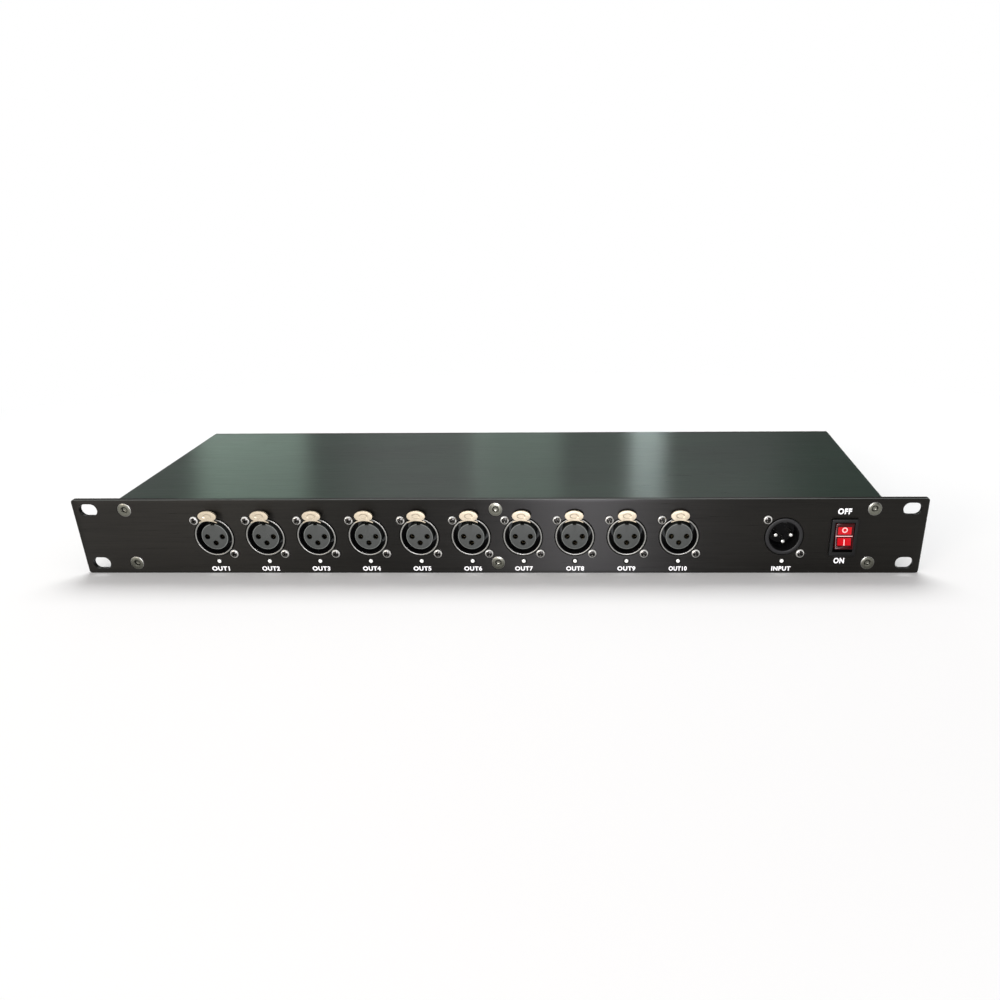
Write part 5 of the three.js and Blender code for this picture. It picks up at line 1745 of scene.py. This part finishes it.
class SPLITTER_OT_inside(bpy.types.Operator):
    """Dress the boards, the ribbon and the leads inside the case"""
    bl_idname = "splitter.inside"
    bl_label = "Inside the case"

    def execute(self, context):
        for node in WIRES:
            piece(f"{node}_wire", [(merged_copy(node), finish_for(node))], "case", [node])
        parts = [(merged_copy("ribbon_cable"), finish_for("ribbon"))]
        piece("ribbon", parts, "case", ["ribbon_cable"])
        boards = context.scene.splitter_board
        low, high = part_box("driver_board")
        deck = low.z + boards.thickness
        driver = on_deck(merged_copy("driver_board"), 1, deck, low, high)
        on_deck(driver, 2, deck, Vector((high.x - boards.terminal, low.y, 0)), high)
        parts = [(driver, *(finish_for(key) for key in ("board", "chip", "terminal")))]
        piece("driver_board_parts", parts, "case", ["driver_board"])
        low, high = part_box("power_supply")
        deck = low.z + boards.thickness
        inner_low = Vector((low.x + boards.terminal, low.y, 0))
        inner_high = Vector((high.x - boards.terminal, high.y, 0))
        middle = (low.x + high.x) / 2
        supply = on_deck(merged_copy("power_supply"), 1, deck, low, high)
        on_deck(supply, 2, deck, inner_low, Vector((middle, high.y, 0)))
        on_deck(supply, 3, deck, Vector((middle, low.y, 0)), inner_high)
        strip = Vector((inner_low.x, high.y - boards.sink_strip, 0))
        on_deck(supply, 4, deck, strip, inner_high)
        keys = ("board", "terminal", "winding", "chip", "sink")
        parts = [(supply, *(finish_for(key) for key in keys))]
        piece("power_supply_parts", parts, "case", ["power_supply"])
        return {"FINISHED"}


# Name, place, half width and half height in metres of the grey cards that the case mirrors
CARDS = (
    ("card_back", (0.7, 2.3, 1.7), (1.0, 1.3)),
    ("card_left", (-1.3, 2.31, 1.95), (1.0, 1.15)),
    ("card_right", (0.95, -1.9, 0.7), (0.5, 0.75)),
)

# Name, place and size in metres, power in watts and colour of each lamp
LAMPS = (
    ("overhead", (0.0, 1.0, 1.7), (1.4, 1.0), 23, "#ffffff"),
    ("front_strip", (0.0, -2.0, 0.18), (0.26, 0.3), 26, "#fbf8ff"),
    ("front_left", (-1.0, -1.7, 0.5), (0.7, 0.5), 11, "#fff4e8"),
    ("back_left", (-1.05, 2.2, 0.36), (0.34, 0.38), 2.3, "#dcffea"),
    ("back_middle", (-0.2, 2.2, 0.35), (0.28, 0.36), 1.1, "#dcffea"),
    ("back_strip", (0.21, 2.2, 0.3), (0.1, 0.2), 1.65, "#ecfffa"),
)


# The camera's sensor in millimetres, and the nearest that it sees in metres
SENSOR_WIDTH = 36
NEAR = 0.01

# The floor's shadows reach further to the sides, so its white starts further out there
SHADOW_SHARES = (0.8, 1.0, 1.0)
PURE_WHITE = (1, 1, 1, 1)


def seen_ray(owner):
    """One for a ray from the camera, or one that a mirror or glass sends on."""
    path = add_node(owner, "ShaderNodeLightPath", {})
    straight = add_node(
        owner, "ShaderNodeMath",
        {0: path.outputs["Is Camera Ray"], 1: path.outputs["Is Glossy Ray"]},
        operation="MAXIMUM",
    )
    seen = add_node(
        owner, "ShaderNodeMath", {0: straight.outputs[0], 1: path.outputs["Is Transmission Ray"]},
        operation="MAXIMUM",
    )
    return seen.outputs[0]


def stage_sheet(name, material, lay):
    """A flat square of the stage."""
    shape = bmesh.new()
    bmesh.ops.create_grid(shape, x_segments=1, y_segments=1, size=1, matrix=lay)
    mesh = bpy.data.meshes.new(name)
    shape.to_mesh(mesh)
    shape.free()
    mesh.materials.append(material)
    sheet = bpy.data.objects.new(name, mesh)
    bpy.context.scene.collection.objects.link(sheet)
    return sheet


class SPLITTER_OT_stage(bpy.types.Operator):
    """Set the floor, the backdrop, the lamps and the camera"""
    bl_idname = "splitter.stage"
    bl_label = "Stage"

    def execute(self, context):
        scene = context.scene
        stage = scene.splitter_stage
        self.make_ground(scene, stage)
        for name, place, half in CARDS:
            self.make_card(scene, name, place, half)
        self.make_world(scene, stage)
        for name, place, size, power, shade in LAMPS:
            lamp = bpy.data.lights.new(name, "AREA")
            lamp.shape = "RECTANGLE"
            lamp.size, lamp.size_y = size
            lamp.energy = power
            lamp.color = linear(shade)[:3]
            holder = bpy.data.objects.new(name, lamp)
            holder.location = place
            holder.rotation_euler = (-Vector(place)).to_track_quat("-Z", "Y").to_euler()
            holder.visible_camera = False
            scene.collection.objects.link(holder)
        lens = bpy.data.cameras.new("photo_camera")
        lens.sensor_width = SENSOR_WIDTH
        lens.lens = stage.lens
        lens.shift_x, lens.shift_y = stage.shift_x, stage.shift_y
        lens.clip_start = NEAR
        camera = bpy.data.objects.new("photo_camera", lens)
        camera.matrix_world = (
            Matrix.Translation((stage.camera_x, FACE - stage.camera_y, MIDDLE + stage.camera_z))
            @ Matrix.Rotation(stage.camera_turn, 4, "Z")
            @ Matrix.Rotation(QUARTER_TURN - stage.camera_tilt, 4, "X")
            @ Matrix.Rotation(stage.camera_roll, 4, "Z")
        )
        scene.collection.objects.link(camera)
        scene.camera = camera
        scene.view_settings.view_transform = "Standard"
        return {"FINISHED"}

    def make_ground(self, scene, stage):
        material, shader = blank_material(
            "paper_white_matt", scene.splitter_colours.floor, Roughness=0.9, Specular_IOR_Level=0.0
        )
        self.whiten_far(material, shader, stage)
        half = stage.floor_half
        floor = stage_sheet("stage_floor", material, Matrix.Diagonal((half, half, 1, 1)))

    def whiten_far(self, material, shader, stage):
        """Past the shadow, what the camera and mirrors see of the floor is plain white."""
        tree = material.node_tree
        place = add_node(material, "ShaderNodeTexCoord", {})
        scaled = add_node(
            material, "ShaderNodeVectorMath", {0: place.outputs["Object"], 1: SHADOW_SHARES},
            operation="MULTIPLY",
        )
        reach = add_node(
            material, "ShaderNodeVectorMath", {0: scaled.outputs["Vector"]}, operation="LENGTH"
        )
        far = add_node(
            material, "ShaderNodeMapRange",
            {
                "Value": reach.outputs["Value"], "From Min": stage.shadow_reach,
                "From Max": stage.white_reach,
            },
            interpolation_type="SMOOTHSTEP",
        )
        mask = add_node(
            material, "ShaderNodeMath", {0: far.outputs[0], 1: seen_ray(material)},
            operation="MULTIPLY",
        )
        white = add_node(material, "ShaderNodeEmission", {"Color": PURE_WHITE, "Strength": 1.0})
        mixed = add_node(
            material, "ShaderNodeMixShader",
            {0: mask.outputs[0], 1: shader.outputs["BSDF"], 2: white.outputs["Emission"]},
        )
        surface = tree.nodes["Material Output"].inputs["Surface"]
        tree.links.new(mixed.outputs["Shader"], surface)

    def make_card(self, scene, name, place, half):
        """A grey card that only mirrors see."""
        grey = scene.splitter_colours.card
        material, _ = blank_material(name + "_grey_matt", grey, Roughness=0.9)
        lay = (
            Matrix.Translation(place)
            @ Matrix.Rotation(QUARTER_TURN, 4, "X")
            @ Matrix.Diagonal((*half, 1, 1))
        )
        card = stage_sheet(name, material, lay)
        card.visible_camera = card.visible_diffuse = card.visible_shadow = False

    def make_world(self, scene, stage):
        world = bpy.data.worlds.new("studio")
        world.use_nodes = True
        scene.world = world
        background = world.node_tree.nodes["Background"]
        background.inputs["Color"].default_value = PURE_WHITE
        strength = add_node(
            world, "ShaderNodeMapRange",
            {"Value": seen_ray(world), "To Min": stage.world, "To Max": 1.0},
        )
        world.node_tree.links.new(strength.outputs[0], background.inputs["Strength"])


OPERATORS = (
    SPLITTER_OT_stage,
    SPLITTER_OT_front_panel,
    SPLITTER_OT_words,
    SPLITTER_OT_case,
    SPLITTER_OT_rear_panel,
    SPLITTER_OT_panel_screws,
    SPLITTER_OT_output_shells,
    SPLITTER_OT_connector_screws,
    SPLITTER_OT_inserts,
    SPLITTER_OT_latches,
    SPLITTER_OT_input_plug,
    SPLITTER_OT_lamps,
    SPLITTER_OT_switch,
    SPLITTER_OT_mains_inlet,
    SPLITTER_OT_inside,
)


class SPLITTER_PT_sidebar(bpy.types.Panel):
    """Lists the operators that build the splitter's looks"""
    bl_idname = "SPLITTER_PT_sidebar"
    bl_label = "Rack signal splitter"
    bl_space_type = "VIEW_3D"
    bl_region_type = "UI"
    bl_category = "Splitter"

    def draw(self, context):
        for operator in OPERATORS:
            self.layout.operator(operator.bl_idname)


def register():
    for group in SETTINGS.values():
        bpy.utils.register_class(group)
    for name, group in SETTINGS.items():
        setattr(bpy.types.Scene, name, bpy.props.PointerProperty(type=group))
    for operator in OPERATORS:
        bpy.utils.register_class(operator)
    bpy.utils.register_class(SPLITTER_PT_sidebar)


def unregister():
    bpy.utils.unregister_class(SPLITTER_PT_sidebar)
    for operator in reversed(OPERATORS):
        bpy.utils.unregister_class(operator)
    for name in reversed(SETTINGS):
        delattr(bpy.types.Scene, name)
        bpy.utils.unregister_class(SETTINGS[name])


def main():
    register()
    for operator in OPERATORS:
        family, name = operator.bl_idname.split(".")
        getattr(getattr(bpy.ops, family), name)()


if __name__ == "__main__":
    main()
